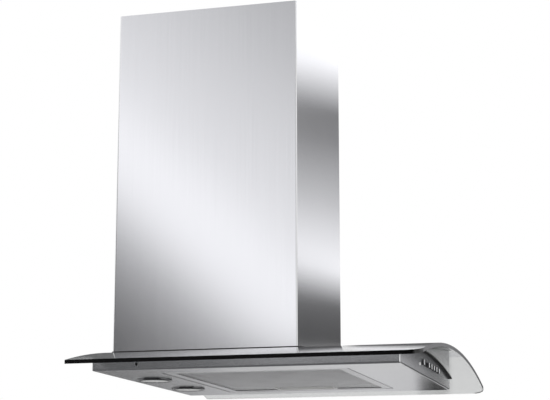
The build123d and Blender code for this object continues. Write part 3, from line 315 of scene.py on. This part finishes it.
# %% Glass that darkens with depth
GLASS_THICKNESS = 0.005
GLASS_DENSITY = 95.0
GLASS_TINT = (0.30, 0.32, 0.32)
WIPED = (3.0, 9.0, 3.0)
glass = Finish("tinted_float_glass")
wiped = glass.noise(glass.stretched(glass.place, WIPED), 2.0, detail=4.0)
clear = glass.node(
    "ShaderNodeBsdfPrincipled",
    {},
    {
        "Base Color": (1.0, 1.0, 1.0),
        "Roughness": wiped * 0.03,
        "IOR": 1.5,
        "Transmission Weight": 1.0,
    },
)
tint = glass.node(
    "ShaderNodeVolumeAbsorption",
    {},
    {"Color": GLASS_TINT, "Density": GLASS_DENSITY},
)
glass.node("ShaderNodeOutputMaterial", {}, {"Surface": clear, "Volume": tint})
finishes["tinted_glass"] = glass.material
absorbed = (1.0 - sum(GLASS_TINT) / 3) * GLASS_DENSITY * GLASS_THICKNESS
print("straight through the sheet passes", round(math.exp(-absorbed), 2), "of the light")

# %% [markdown]
# ## Rubber
# The seal between body and glass is extruded rubber: nearly black, matt, with a
# faint bloom. Its surface is made by fine noise in the bump, and a slow noise
# moves the tone so that it doesn't look painted.

# %% Seal rubber
BLOOM = 60.0
PORES = 2200.0
rubber = Finish("seal_rubber")
bloom = rubber.noise(rubber.place, BLOOM, detail=4.0)
pores = rubber.noise(rubber.place, PORES)
finishes["seal_rubber"] = rubber.shade(
    Base_Color=rubber.blend(bloom, (0.006, 0.006, 0.006), (0.016, 0.016, 0.017)),
    Roughness=bloom * 0.15 + 0.65,
    Specular_IOR_Level=0.25,
    Normal=rubber.bump(pores, 0.00004, 0.5),
)
print("bloom about", round(1000 / BLOOM), "mm across, pores", round(1000 / PORES, 1), "mm")

# %% [markdown]
# ## Plated screws, rod and shaft
# Small steel parts are zinc plated: bright, with a slight uneven haze from the
# bath. At their size one fine noise does for the tone, the gloss and the bump.

# %% Zinc plating
HAZE = 400.0
plating = Finish("plated_steel")
haze = plating.noise(plating.place, HAZE, detail=3.0)
finishes["screw_steel"] = plating.shade(
    Base_Color=plating.blend(haze, (0.55, 0.56, 0.57), (0.74, 0.74, 0.74)),
    Metallic=1.0,
    Roughness=haze * 0.16 + 0.20,
    Normal=plating.bump(haze, 0.00003, 0.4),
)
print("haze about", 1000 / HAZE, "mm across")

# %% [markdown]
# ## Satin aluminium
# The filter's frame is folded from aluminium sheet and the flaps are stamped
# from it. It is a little warmer and duller than the steel, with a short grain
# from rolling, so its noise is stretched less than the steel's scratches.

# %% Rolled aluminium
ROLLED_ALONG = 90.0
ROLLED_ACROSS = 1400.0
satin = Finish("rolled_aluminium")
rolled = (ROLLED_ALONG, ROLLED_ACROSS, ROLLED_ACROSS)
rolling = satin.noise(satin.stretched(satin.place, rolled), 1.0)
finishes["filter_aluminium"] = satin.shade(
    Base_Color=satin.blend(rolling, (0.58, 0.58, 0.59), (0.74, 0.74, 0.75)),
    Metallic=1.0,
    Roughness=rolling * 0.14 + 0.26,
    Normal=satin.bump(rolling, 0.00004, 0.35),
)
print("grain", round(1000 / ROLLED_ALONG), "by", round(1000 / ROLLED_ACROSS, 1), "mm")

# %% [markdown]
# ## Expanded mesh
# The grease filter is a pack of expanded aluminium: sheet that is slit in rows
# and pulled open into diamonds, so every strand is a flat ribbon lying at a
# slant. It could be modelled ribbon by ribbon, but that takes tens of thousands
# of faces for strands under a millimetre wide. Here two families of slanting
# lines crossing each other draw the diamonds on a plain sheet. The distance to
# the nearest line says where a strand is, and the alpha is cut away between
# strands, so one layer shows through the other.

# %% Diamonds of the expanded sheet
DIAMOND_WIDE = 0.0080
DIAMOND_DEEP = 0.0045
STRAND = 0.30
MESH_SHIFT = 0.25
DULLING = 350.0


def strand_lines(finish, wide, deep, shift):
    """1 in the middle of a diamond mesh's strands, falling to 0 in its openings."""
    x, y, _ = finish.parts(finish.place)
    rows = []
    for sign in (1.0, -1.0):
        row = x / wide + y * (sign / deep) + shift
        wave = finish.node("ShaderNodeMath", {"operation": "FRACT"}, {0: row})
        rows.append(abs(wave - 0.5) * 2.0)
    return rows[0].most(rows[1])


expanded = Finish("expanded_aluminium")
line = strand_lines(expanded, DIAMOND_WIDE, DIAMOND_DEEP, MESH_SHIFT)
strand = line.above(1.0 - STRAND)
slant = line.eased(1.0 - STRAND, 1.0)
dull = expanded.noise(expanded.place, DULLING)
strand_tone = slant * 0.7 + dull * 0.3
finishes["mesh_aluminium"] = expanded.shade(
    Base_Color=expanded.blend(strand_tone, (0.68, 0.68, 0.69), (0.92, 0.92, 0.93)),
    Metallic=1.0,
    Roughness=dull * 0.15 + 0.36,
    Alpha=strand,
    Normal=expanded.bump(slant, 0.0004, 0.8),
)
print("diamonds", DIAMOND_WIDE * 1000, "by", DIAMOND_DEEP * 1000, "mm")

# %% [markdown]
# ## Moulded plastics
# The blower, the boxes and the filter's grip are injection moulded. A mould is
# spark eroded, which leaves a fine even texture on the plastic. One function
# makes them all, and the motor's enamel too: only the two tones, the gloss and
# the texture differ. A low number for `gloss` is a glossy surface.


# %% Injection-moulded plastic
MOTTLE = 45.0


def moulded(name, dark, light, gloss, texture=1800.0, depth=0.00005):
    plastic = Finish(name)
    mottle = plastic.noise(plastic.place, MOTTLE, detail=3.0)
    erosion = plastic.noise(plastic.place, texture)
    return plastic.shade(
        Base_Color=plastic.blend(mottle, dark, light),
        Roughness=erosion * 0.12 + gloss,
        Normal=plastic.bump(erosion, depth, 0.5),
    )


finishes["dark_plastic"] = moulded(
    "dark_plastic",
    dark=(0.030, 0.031, 0.034),
    light=(0.055, 0.056, 0.060),
    gloss=0.42,
)
finishes["pale_plastic"] = moulded(
    "pale_plastic",
    dark=(0.50, 0.50, 0.495),
    light=(0.60, 0.60, 0.595),
    gloss=0.36,
)
finishes["window_plastic"] = moulded(
    "smoked_window",
    dark=(0.008, 0.008, 0.010),
    light=(0.018, 0.018, 0.021),
    gloss=0.06,
    texture=300.0,
    depth=0.000004,
)
finishes["indicator_plastic"] = moulded(
    "indicator_dome",
    dark=(0.84, 0.84, 0.84),
    light=(0.93, 0.93, 0.93),
    gloss=0.10,
    texture=500.0,
    depth=0.000006,
)
finishes["motor_enamel"] = moulded(
    "motor_enamel",
    dark=(0.020, 0.020, 0.022),
    light=(0.045, 0.045, 0.048),
    gloss=0.30,
    texture=420.0,
    depth=0.00003,
)
print("finishes so far:", len(finishes))

# %% [markdown]
# ## Chromed buttons
# Each button is coloured by the way its faces look. Faces that look forward are
# near white, a painted light, and all the others near black, a painted shade, so
# that a row of them reads as light bars with dark between them. One finish does
# both. The hair-fine marks of fingers rubbing the front run in its roughness.

# %% Button faces, painted lit in front and painted in shade elsewhere
# Near white for the painted light on forward faces, near black for the painted shade on the rest.
LIT_TONE = (0.93, 0.93, 0.94)
LIT_TONE_WORN = (0.8742, 0.8742, 0.8836)
SHADE_TONE = (0.020, 0.020, 0.022)
SHADE_TONE_WORN = (0.040, 0.040, 0.044)
RUBBED = (4000.0, 4000.0, 300.0)
chrome = Finish("button_chrome")
rubbed = chrome.noise(chrome.stretched(chrome.place, RUBBED), 1.0)
# 1 on faces that look forward, which are painted lit; 0 on the others, which are painted in shade.
lit_cap = chrome.side("y")
shaded_key_tone = chrome.blend(rubbed, SHADE_TONE, SHADE_TONE_WORN)
lit_cap_tone = chrome.blend(rubbed, LIT_TONE_WORN, LIT_TONE)
finishes["button_chrome"] = chrome.shade(
    Base_Color=chrome.blend(lit_cap, shaded_key_tone, lit_cap_tone),
    Metallic=lit_cap * 0.25,
    Roughness=rubbed * 0.08 + 0.40 - lit_cap * 0.10,
)
print("cap and key wear by", [round(a - b, 3) for a, b in zip(LIT_TONE, LIT_TONE_WORN)])

# %% [markdown]
# ## The lamps' rings
# The ring round each lamp is turned from aluminium and left satin, with the fine
# grooves of the lathe. Its tone is kept dark, a painted shade of the ring's near wall.
# The grooves are rings round the lamp's own middle, so the pattern is the distance
# from it; both lamps lie at the same place but for the sign of X, and taking X
# without its sign serves the two at once.

# %% Turned ring
GROOVES = 5000.0
bezel_low, bezel_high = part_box("left_lamp_bezel")
lamp_middle = (bezel_low + bezel_high) / 2
turned = Finish("turned_ring")
ring_x, ring_y, _ = turned.parts(turned.place)
across = abs(abs(ring_x) - abs(lamp_middle.x))
forward = ring_y - lamp_middle.y
radius = (across * across + forward * forward) ** 0.5
wave = turned.node("ShaderNodeMath", {"operation": "SINE"}, {0: radius * GROOVES})
groove = wave * 0.5 + 0.5
# The dark base tone is painted shade of the ring's near wall, not the colour of aluminium.
finishes["lamp_bezel"] = turned.shade(
    Base_Color=turned.blend(groove, (0.17, 0.17, 0.175), (0.25, 0.25, 0.255)),
    Metallic=1.0,
    Roughness=groove * 0.08 + 0.20,
    Normal=turned.bump(groove, 0.00002, 0.4),
)
print("grooves", round(2000 * math.pi / GROOVES, 2), "mm apart round", lamp_middle.to_tuple(4))

# %% [markdown]
# ## Frosted lamp glass
# The lamp's lens is pressed glass with one side etched, so it scatters what
# passes and most of it comes back. Etching is a fine pitted surface: roughness and
# a shallow bump, over a shader that is a third transmission and the rest white.

# %% Etched lens
PITS = 1500.0
frost = Finish("etched_lens")
pits = frost.noise(frost.place, PITS, detail=3.0)
finishes["frosted_lens"] = frost.shade(
    Base_Color=frost.blend(pits, (0.90, 0.91, 0.90), (0.98, 0.98, 0.97)),
    Roughness=pits * 0.15 + 0.30,
    IOR=1.5,
    Transmission_Weight=0.35,
    Normal=frost.bump(pits, 0.00003, 0.5),
)
print("pits about", round(1000 / PITS, 1), "mm across")

# %% [markdown]
# ## Circuit boards
# A board is green lacquer over copper tracks. The tracks are the paler joints of a
# brick pattern. The boards are hidden inside, but they are still boards.

# %% Lacquered board
BOARD_TILES = 160.0
LACQUER = 700.0
board = Finish("circuit_board")
tracks = board.node(
    "ShaderNodeTexBrick",
    {},
    {
        "Vector": board.place,
        "Color1": (0.015, 0.090, 0.035),
        "Color2": (0.020, 0.115, 0.045),
        "Mortar": (0.070, 0.230, 0.110),
        "Scale": BOARD_TILES,
        "Mortar Size": 0.06,
    },
)
lacquer = board.noise(board.place, LACQUER)
finishes["board_green"] = board.shade(
    Base_Color=tracks,
    Roughness=lacquer * 0.1 + 0.22,
)
print("tracks every", 1000 / BOARD_TILES, "mm")

# %% [markdown]
# ## Every piece takes the finish of its slot
# The part's record already says which finish each piece has. The two chimney
# covers are the exception: same steel, but brushed upright.

# %% Dress the pieces
UPRIGHT = ("chimney_cover", "upper_cover")
for row in frame["record"]["subparts"]:
    piece = hood[row["node"]]
    slot_finish = finishes[row["material_slot"]]
    piece.data.materials.clear()
    piece.data.materials.append(upright_steel if piece.name in UPRIGHT else slot_finish)

# %% [markdown]
# ## A black bead round the chimney's foot
# Where the chimney stands on the glass a thin black bead runs along its front and
# two sides, and draws a dark line at its foot. Its section is a quarter circle
# leaning on the cover, and its path follows the arch of the glass. A curve object
# with a bevel could make it, but its section would tilt with the path. It is swept
# here ring by ring instead: at every point of the path one copy of the section is
# laid on the glass, and neighbours are joined.

# %% The arch of the glass
glass_low, glass_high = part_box("glass_canopy")
glass_half = (glass_high.x - glass_low.x) / 2
glass_sag = (glass_high.z - glass_low.z) - GLASS_THICKNESS
sheet_radius = (glass_half**2 + glass_sag**2) / (2 * glass_sag)


def glass_top(x):
    """Height of the glass's upper face at x, from the arch through its crest."""
    return glass_high.z - sheet_radius + math.sqrt(sheet_radius**2 - x * x)


print("glass bent to a radius of", round(sheet_radius, 3), "m")

# %% [markdown]
# The path runs from the wall along the left side, across the front and back to
# the wall on the right. Its points lie close together along the front, where the
# glass curves under it. At the two front corners the section points out on the
# diagonal, which mitres the bead there.

# %% The bead's path and section
BEAD = 0.0016
BEAD_LIFT = 0.0001
SECTION_STEPS = 5
SIDE_STEPS = 24
FRONT_STEPS = 48
foot_low, foot_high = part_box("chimney_cover")


def bead_path():
    """Points along the foot with the direction that points away from the cover."""
    left, right = foot_low.x, foot_high.x
    front, back = foot_low.y, foot_high.y
    for n in range(SIDE_STEPS):
        yield (left, back + (front - back) * n / SIDE_STEPS), (-1.0, 0.0)
    yield (left, front), (-1.0, -1.0)
    for n in range(1, FRONT_STEPS):
        yield (left + (right - left) * n / FRONT_STEPS, front), (0.0, -1.0)
    yield (right, front), (1.0, -1.0)
    for n in range(1, SIDE_STEPS + 1):
        yield (right, front + (back - front) * n / SIDE_STEPS), (1.0, 0.0)


def bead_section(point, away):
    """One closed ring of points: the foot, the corner and the rounded face."""
    x, y = point
    ring = [(x, y, glass_top(x) + BEAD_LIFT)]
    for n in range(SECTION_STEPS + 1):
        turn = math.radians(90.0 * n / SECTION_STEPS)
        out, up = BEAD * math.cos(turn), BEAD * math.sin(turn)
        over_x, over_y = x + away[0] * out, y + away[1] * out
        ring.append((over_x, over_y, glass_top(over_x) + BEAD_LIFT + up))
    return ring


print("the bead is drawn by", len(list(bead_path())), "rings")

# %% [markdown]
# Each ring becomes a row of vertices. Four-sided faces join it to the next ring,
# and the two ends at the wall are closed, so that the bead is a whole body. It
# rides on the hood, with the cover and the glass that it lies against.

# %% Sweep the bead
# A thin black bead, which draws a dark line along the chimney's foot on the glass.
bead_mesh = bmesh.new()
rings = [[bead_mesh.verts.new(place) for place in bead_section(*step)] for step in bead_path()]
count = len(rings[0])
for first, second in zip(rings, rings[1:]):
    for n in range(count):
        after = (n + 1) % count
        bead_mesh.faces.new((first[n], first[after], second[after], second[n]))
bead_mesh.faces.new(rings[0])
bead_mesh.faces.new(reversed(rings[-1]))
bmesh.ops.recalc_face_normals(bead_mesh, faces=bead_mesh.faces)
swept = bpy.data.meshes.new("foot_bead")
bead_mesh.to_mesh(swept)
bead_mesh.free()
swept.materials.append(finishes["seal_rubber"])
bead = bpy.data.objects.new("foot_bead", swept)
bpy.context.scene.collection.objects.link(bead)
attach(bead, "hood")
print("bead of", BEAD * 1000, "mm in", len(swept.polygons), "faces")

# %% [markdown]
# ## The floor
# The hood hangs over a plain pale floor, which takes its soft shadow. It carries a
# trace of noise, as any real floor does, and lies below the camera. It is quite
# matt: with any gloss of its own it would mirror the cards that stand over it.

# %% Pale floor
FLOOR_HEIGHT = -0.42
FLOOR_HALF = 9.0
ground = Finish("pale_floor")
worn = ground.noise(ground.place, 1.3, detail=3.0)
ground_finish = ground.shade(
    Base_Color=ground.blend(worn, (0.80, 0.80, 0.80), (0.84, 0.84, 0.84)),
    Roughness=worn * 0.1 + 0.8,
    Specular_IOR_Level=0.0,
)


def flat_panel(name, corners, material):
    """A single flat face through four corners."""
    face = bpy.data.meshes.new(name)
    face.from_pydata(corners, [], [(0, 1, 2, 3)])
    face.materials.append(material)
    panel = bpy.data.objects.new(name, face)
    bpy.context.scene.collection.objects.link(panel)
    return panel


half = FLOOR_HALF
floor_corners = [(-half, -half), (half, -half), (half, half), (-half, half)]
floor = flat_panel("floor", [(x, y, FLOOR_HEIGHT) for x, y in floor_corners], ground_finish)

# %% [markdown]
# ## Reflector cards
# Brushed steel has no colour of its own: it shows what stands round it. In a
# studio large cards do that, one side lit and fading to the other, and the metal
# turns them into soft bands. Painting the bands on the steel would be wrong, as
# they would stay put when the hood is seen from elsewhere. Each card here glows
# by its own gradient. It shows in reflections, and some also through the glass,
# but the camera doesn't see it and it adds no light to dull surfaces.

# %% A card with a gradient
CARD_TINT = (0.97, 0.97, 1.0)
FEATHER = (0.05, 0.05)


def soft_border(card, place, low, high, feather):
    """1 inside the card and 0 at its border, easing over the feather of each side."""
    inside = None
    for part, first, last, fade in zip(card.parts(place)[1:], low, high, feather):
        rising = part.eased(first, first + fade)
        falling = 1.0 - part.eased(last - fade, last)
        both = rising * falling
        inside = both if inside is None else inside * both
    return inside


def hide_from_all_but_gloss(panel, through_glass):
    """Show a panel in reflections, and behind glass if asked, but nowhere else."""
    panel.visible_camera = False
    panel.visible_diffuse = False
    panel.visible_transmission = through_glass
    panel.visible_shadow = False


def gradient_card(name, x, low, high, along, stops, through_glass=False, feather=FEATHER):
    """A glowing card square to X, from (y, z) low to high.

    along turns a point's place into 0 to 1, and stops gives the glow there."""
    material = bpy.data.materials.new(name)
    material.use_nodes = True
    card = Network(material.node_tree)
    place = card.node("ShaderNodeTexCoord", {}, {}, "Object")
    tones = [(at, tuple(glow * part for part in CARD_TINT)) for at, glow in stops]
    ramp = card.node("ShaderNodeValToRGB", {"stops": tones}, {0: along(card, place)})
    lit = card.node("ShaderNodeEmission", {}, {"Color": ramp})
    clear = card.node("ShaderNodeBsdfTransparent")
    border = soft_border(card, place, low, high, feather)
    mixed = card.node("ShaderNodeMixShader", {}, {0: border, 1: clear, 2: lit})
    card.node("ShaderNodeOutputMaterial", {}, {"Surface": mixed})
    (left, bottom), (right, top) = low, high
    corners = [(x, left, bottom), (x, right, bottom), (x, right, top), (x, left, top)]
    panel = flat_panel(name, corners, material)
    hide_from_all_but_gloss(panel, through_glass)
    print(name, "glows from", min(glow for _, glow in stops), "to", max(glow for _, glow in stops))


print("cards fade out over", FEATHER, "m at their borders unless told otherwise")

# %% [markdown]
# ## The card beside the chimney
# It stands left of the chimney, lit in a broad band that slopes up towards the
# wall, and falls off more quickly below the band than above it. A short list of
# heights over the band and their glow says all of that.

# %% Left card
LEFT_X = -0.60
LEFT_FRONT = -1.0
LEFT_BACK = 0.9
LEFT_FLOOR = 0.066
LEFT_TOP = 1.4
LEFT_FEATHER = (0.25, 0.004)
BAND_HEIGHT = 0.283
BAND_SLOPE = 0.9
BAND_LOW = -0.30
BAND_HIGH = 0.70


def along_band(rise):
    return (rise - BAND_LOW) / (BAND_HIGH - BAND_LOW)


def over_band(card, place):
    """How far a point lies above the band, square to it, from 0 to 1."""
    _, y, z = card.parts(place)
    return along_band((z - BAND_HEIGHT - y * BAND_SLOPE) / math.hypot(1.0, BAND_SLOPE))


left_glow = [
    (-0.27, 0.10),
    (-0.18, 0.32),
    (-0.12, 0.56),
    (-0.05, 1.28),
    (0.02, 1.32),
    (0.10, 1.04),
    (0.22, 0.88),
    (0.42, 0.58),
]
gradient_card(
    "card_left",
    LEFT_X,
    low=(LEFT_FRONT, LEFT_FLOOR),
    high=(LEFT_BACK, LEFT_TOP),
    along=over_band,
    stops=[(along_band(rise), glow) for rise, glow in left_glow],
    through_glass=True,
    feather=LEFT_FEATHER,
)

# %% [markdown]
# ## A dark strip under it
# The body's side and the edge of the glass mirror what stands low at the left.
# Black edges and a mid-grey side need a dark strip there, darker towards the
# front. Most of the other cards are graded along Y too, so one function makes
# their gradient.


# %% Strip under the left card
def graded(name, x, low, high, levels, **options):
    """A card whose glow changes along Y only."""
    first, last = low[0], high[0]
    gradient_card(
        name,
        x,
        low,
        high,
        lambda card, place: (card.parts(place)[1] - first) / (last - first),
        [((y - first) / (last - first), glow) for y, glow in levels],
        **options,
    )


STRIP_FOOT = -0.25
graded(
    "card_strip",
    LEFT_X,
    low=(LEFT_FRONT, STRIP_FOOT),
    high=(LEFT_BACK, LEFT_FLOOR),
    levels=[(-0.45, 0.06), (-0.25, 0.16), (0.10, 0.16), (0.50, 0.10)],
    through_glass=True,
    feather=LEFT_FEATHER,
)

# %% [markdown]
# ## The card at the right
# The front of the chimney is seen at a shallow angle and mirrors what stands to
# the right of the hood: here a card that is lit in steps from dark to bright,
# twice, with the steps tilted a little.

# %% Right card
RIGHT_X = 0.36
RIGHT_TILT = 0.3
RIGHT_MIDDLE = -0.345
right_glow = [
    (0.09, 0.07),
    (0.165, 0.17),
    (0.223, 1.18),
    (0.25, 1.10),
    (0.34, 0.66),
    (0.45, 0.29),
    (0.50, 0.25),
    (0.59, 1.35),
]


def up_the_card(card, place):
    """Height on the card, with its steps tilted a little."""
    _, y, z = card.parts(place)
    return z + (y - RIGHT_MIDDLE) * RIGHT_TILT


gradient_card(
    "card_right",
    RIGHT_X,
    low=(-0.75, 0.05),
    high=(-0.20, 0.95),
    along=up_the_card,
    stops=right_glow,
)

# %% [markdown]
# ## A dark card behind it
# The glass wing at the left is seen almost edge on, so it mirrors like polished
# stone. What it mirrors stands far to the right, behind the plane of the wall: one
# card that darkens away from the wall and keeps that strip of glass grey.

# %% Dark card
FAR_X = 1.20
graded(
    "card_dark",
    FAR_X,
    low=(0.10, 0.12),
    high=(1.1, 0.66),
    levels=[(0.10, 0.60), (0.30, 0.30), (0.45, 0.16), (0.7, 0.14)],
    feather=(0.10, 0.10),
)

# %% [markdown]
# ## Two cards for the front panel
# The narrow front panel is seen almost edge on too. Its middle grey, on which the
# bright buttons stand out, is the mirror image of a card in front of the hood's
# right end. A dark card just below it keeps the round fold under the panel from
# drawing a bright line.

# %% Panel cards
PANEL_X = 0.35
PANEL_FRONT = -1.2
PANEL_BACK = -0.447
THIN_FEATHER = (0.006, 0.003)
graded(
    "card_panel",
    PANEL_X,
    low=(PANEL_FRONT, 0.002),
    high=(PANEL_BACK, 0.125),
    levels=[(PANEL_FRONT, 0.50), (-0.58, 0.50), (-0.53, 0.46), (-0.49, 0.32), (-0.46, 0.12)],
    through_glass=True,
    feather=THIN_FEATHER,
)
graded(
    "card_under",
    RIGHT_X,
    low=(PANEL_FRONT, -0.12),
    high=(PANEL_BACK, 0.010),
    levels=[(PANEL_FRONT, 0.10), (PANEL_BACK, 0.06)],
    through_glass=True,
    feather=THIN_FEATHER,
)

# %% [markdown]
# ## The low cards
# The underside mirrors what stands low and far to the right. One long card there
# is bright in front and dark behind the wall's plane; a second lies under its far
# end, and a dark one before it shades the folds of the front. A small dark card
# close by makes the soft shade in the corner beside the front panel.

# %% Low cards
LOW_FOOT = -0.31
LOW_TOP = 0.02
LOW_FEATHER = (0.02, 0.02)
low_levels = [
    (-0.50, 0.62),
    (-0.22, 0.54),
    (-0.10, 0.60),
    (0.07, 0.52),
    (0.16, 0.38),
    (0.30, 0.40),
    (0.42, 0.18),
    (0.50, 0.08),
    (0.62, 0.05),
]
graded(
    "card_low",
    FAR_X,
    low=(-0.5, -0.19),
    high=(1.5, LOW_TOP),
    levels=low_levels,
    feather=LOW_FEATHER,
)
graded(
    "card_low_wall",
    FAR_X,
    low=(0.2, LOW_FOOT),
    high=(1.5, -0.17),
    levels=[(0.2, 0.40), (0.42, 0.14), (0.6, 0.05)],
    feather=(0.1, 0.02),
)
graded(
    "card_low_front",
    FAR_X,
    low=(-1.2, LOW_FOOT),
    high=(-0.36, LOW_TOP),
    levels=[(-1.2, 0.12), (-0.36, 0.12)],
    feather=LOW_FEATHER,
)
graded(
    "card_corner",
    RIGHT_X,
    low=(-0.402, -0.080),
    high=(-0.330, 0.0),
    levels=[(-0.402, 0.0), (-0.370, 0.0), (-0.354, 0.12), (-0.336, 0.50)],
    feather=(0.018, 0.006),
)

# %% [markdown]
# ## A dark cloth under the hood
# The folded edges of the body are round, so they mirror what lies straight below.
# On a white floor that draws a bright line along every fold. A photographer lays
# a dark cloth there, just out of the picture. It has one even tone, which nobody
# sees but in the folds.

# %% Dark cloth
CLOTH_HEIGHT = -0.315
CLOTH_GLOW = 0.14
cloth_corners = [(-1.0, -1.2), (0.34, -1.2), (0.34, 0.5), (-1.0, 0.5)]
cloth_tone = tuple(CLOTH_GLOW * part for part in CARD_TINT)
cloth_material = bpy.data.materials.new("dark_cloth")
cloth_material.use_nodes = True
cloth = Network(cloth_material.node_tree)
cloth_glow = cloth.node("ShaderNodeEmission", {}, {"Color": cloth_tone})
cloth.node("ShaderNodeOutputMaterial", {}, {"Surface": cloth_glow})
cloth_places = [(x, y, CLOTH_HEIGHT) for x, y in cloth_corners]
cloth_panel = flat_panel("dark_cloth", cloth_places, cloth_material)
hide_from_all_but_gloss(cloth_panel, through_glass=False)
print("cloth", round(CLOTH_HEIGHT - FLOOR_HEIGHT, 3), "m over the floor")

# %% [markdown]
# ## White surroundings
# The picture's ground is pure white. The world is therefore white to the camera
# and to reflections and glass, and a calmer grey as a source of light, so that
# nothing pale on the hood is burnt out.

# %% World
SKY_LIGHT = 0.80
world = bpy.data.worlds.new("studio")
bpy.context.scene.world = world
world.use_nodes = True
sky = Network(world.node_tree)
ray = sky.node("ShaderNodeLightPath", {}, {}, "Is Camera Ray").socket.node
to_camera = Wire(sky, ray.outputs["Is Camera Ray"])
by_gloss = Wire(sky, ray.outputs["Is Glossy Ray"])
through = Wire(sky, ray.outputs["Is Transmission Ray"])
shown = to_camera.most(by_gloss).most(through)
backdrop = sky.node(
    "ShaderNodeBackground",
    {},
    {"Color": (1.0, 1.0, 1.0), "Strength": shown * (1.0 - SKY_LIGHT) + SKY_LIGHT},
)
sky.node("ShaderNodeOutputWorld", {}, {"Surface": backdrop})
print("sky light", SKY_LIGHT)

# %% [markdown]
# ## Soft lamps
# Two large area lights do the work of softboxes: one above and in front, and a
# broader and weaker one at the camera's side to open the shadows under the glass.


# %% Softboxes
def softbox(name, place, target, size, power):
    """A round area light at a place, turned to face its target."""
    light = bpy.data.lights.new(name, "AREA")
    light.shape = "DISK"
    light.size = size
    light.energy = power
    lamp = bpy.data.objects.new(name, light)
    lamp.location = place
    lamp.rotation_euler = (Vector(target) - Vector(place)).to_track_quat("-Z", "Y").to_euler()
    bpy.context.scene.collection.objects.link(lamp)
    return lamp


above = softbox(
    "softbox_above",
    place=(-1.2, -1.6, 2.2),
    target=(0.0, -0.2, 0.2),
    size=1.6,
    power=24.0,
)
left = softbox(
    "softbox_left",
    place=(-3.2, -2.0, 1.3),
    target=(0.0, -0.2, 0.1),
    size=2.0,
    power=17.0,
)
for lamp in (above, left):
    print(lamp.name, "of", lamp.data.energy, "W stands", round(lamp.location.length, 2), "m away")

# %% [markdown]
# ## The camera
# The picture is taken from the left and from below, with a long lens. Its place
# and direction were worked out from the straight edges of the body and the
# chimney, and they are given here as a point and three directions.

# %% Camera
LENS = 97.03
SENSOR = 36.0
NEAREST = 0.05
EYE = Vector((-2.05966, -0.75593, -0.19285))
AHEAD = Vector((0.94355, 0.25587, 0.21033))
RIGHTWARD = Vector((0.26170, -0.96515, 0.00012))
camera = bpy.data.objects.new("camera", bpy.data.cameras.new("camera"))
camera.data.lens = LENS
camera.data.sensor_width = SENSOR
camera.data.clip_start = NEAREST
upward = RIGHTWARD.cross(AHEAD)
facing = Matrix((RIGHTWARD, upward, -AHEAD)).transposed()
camera.matrix_world = Matrix.Translation(EYE) @ facing.to_4x4()
bpy.context.scene.collection.objects.link(camera)
bpy.context.scene.camera = camera
bpy.context.scene.view_settings.view_transform = "Standard"
print("camera", round(EYE.length, 2), "m from the middle of the wall line")

# %% [markdown]
# ## The scene is set
# The hood is dressed, and the studio, the floor and the camera stand ready.
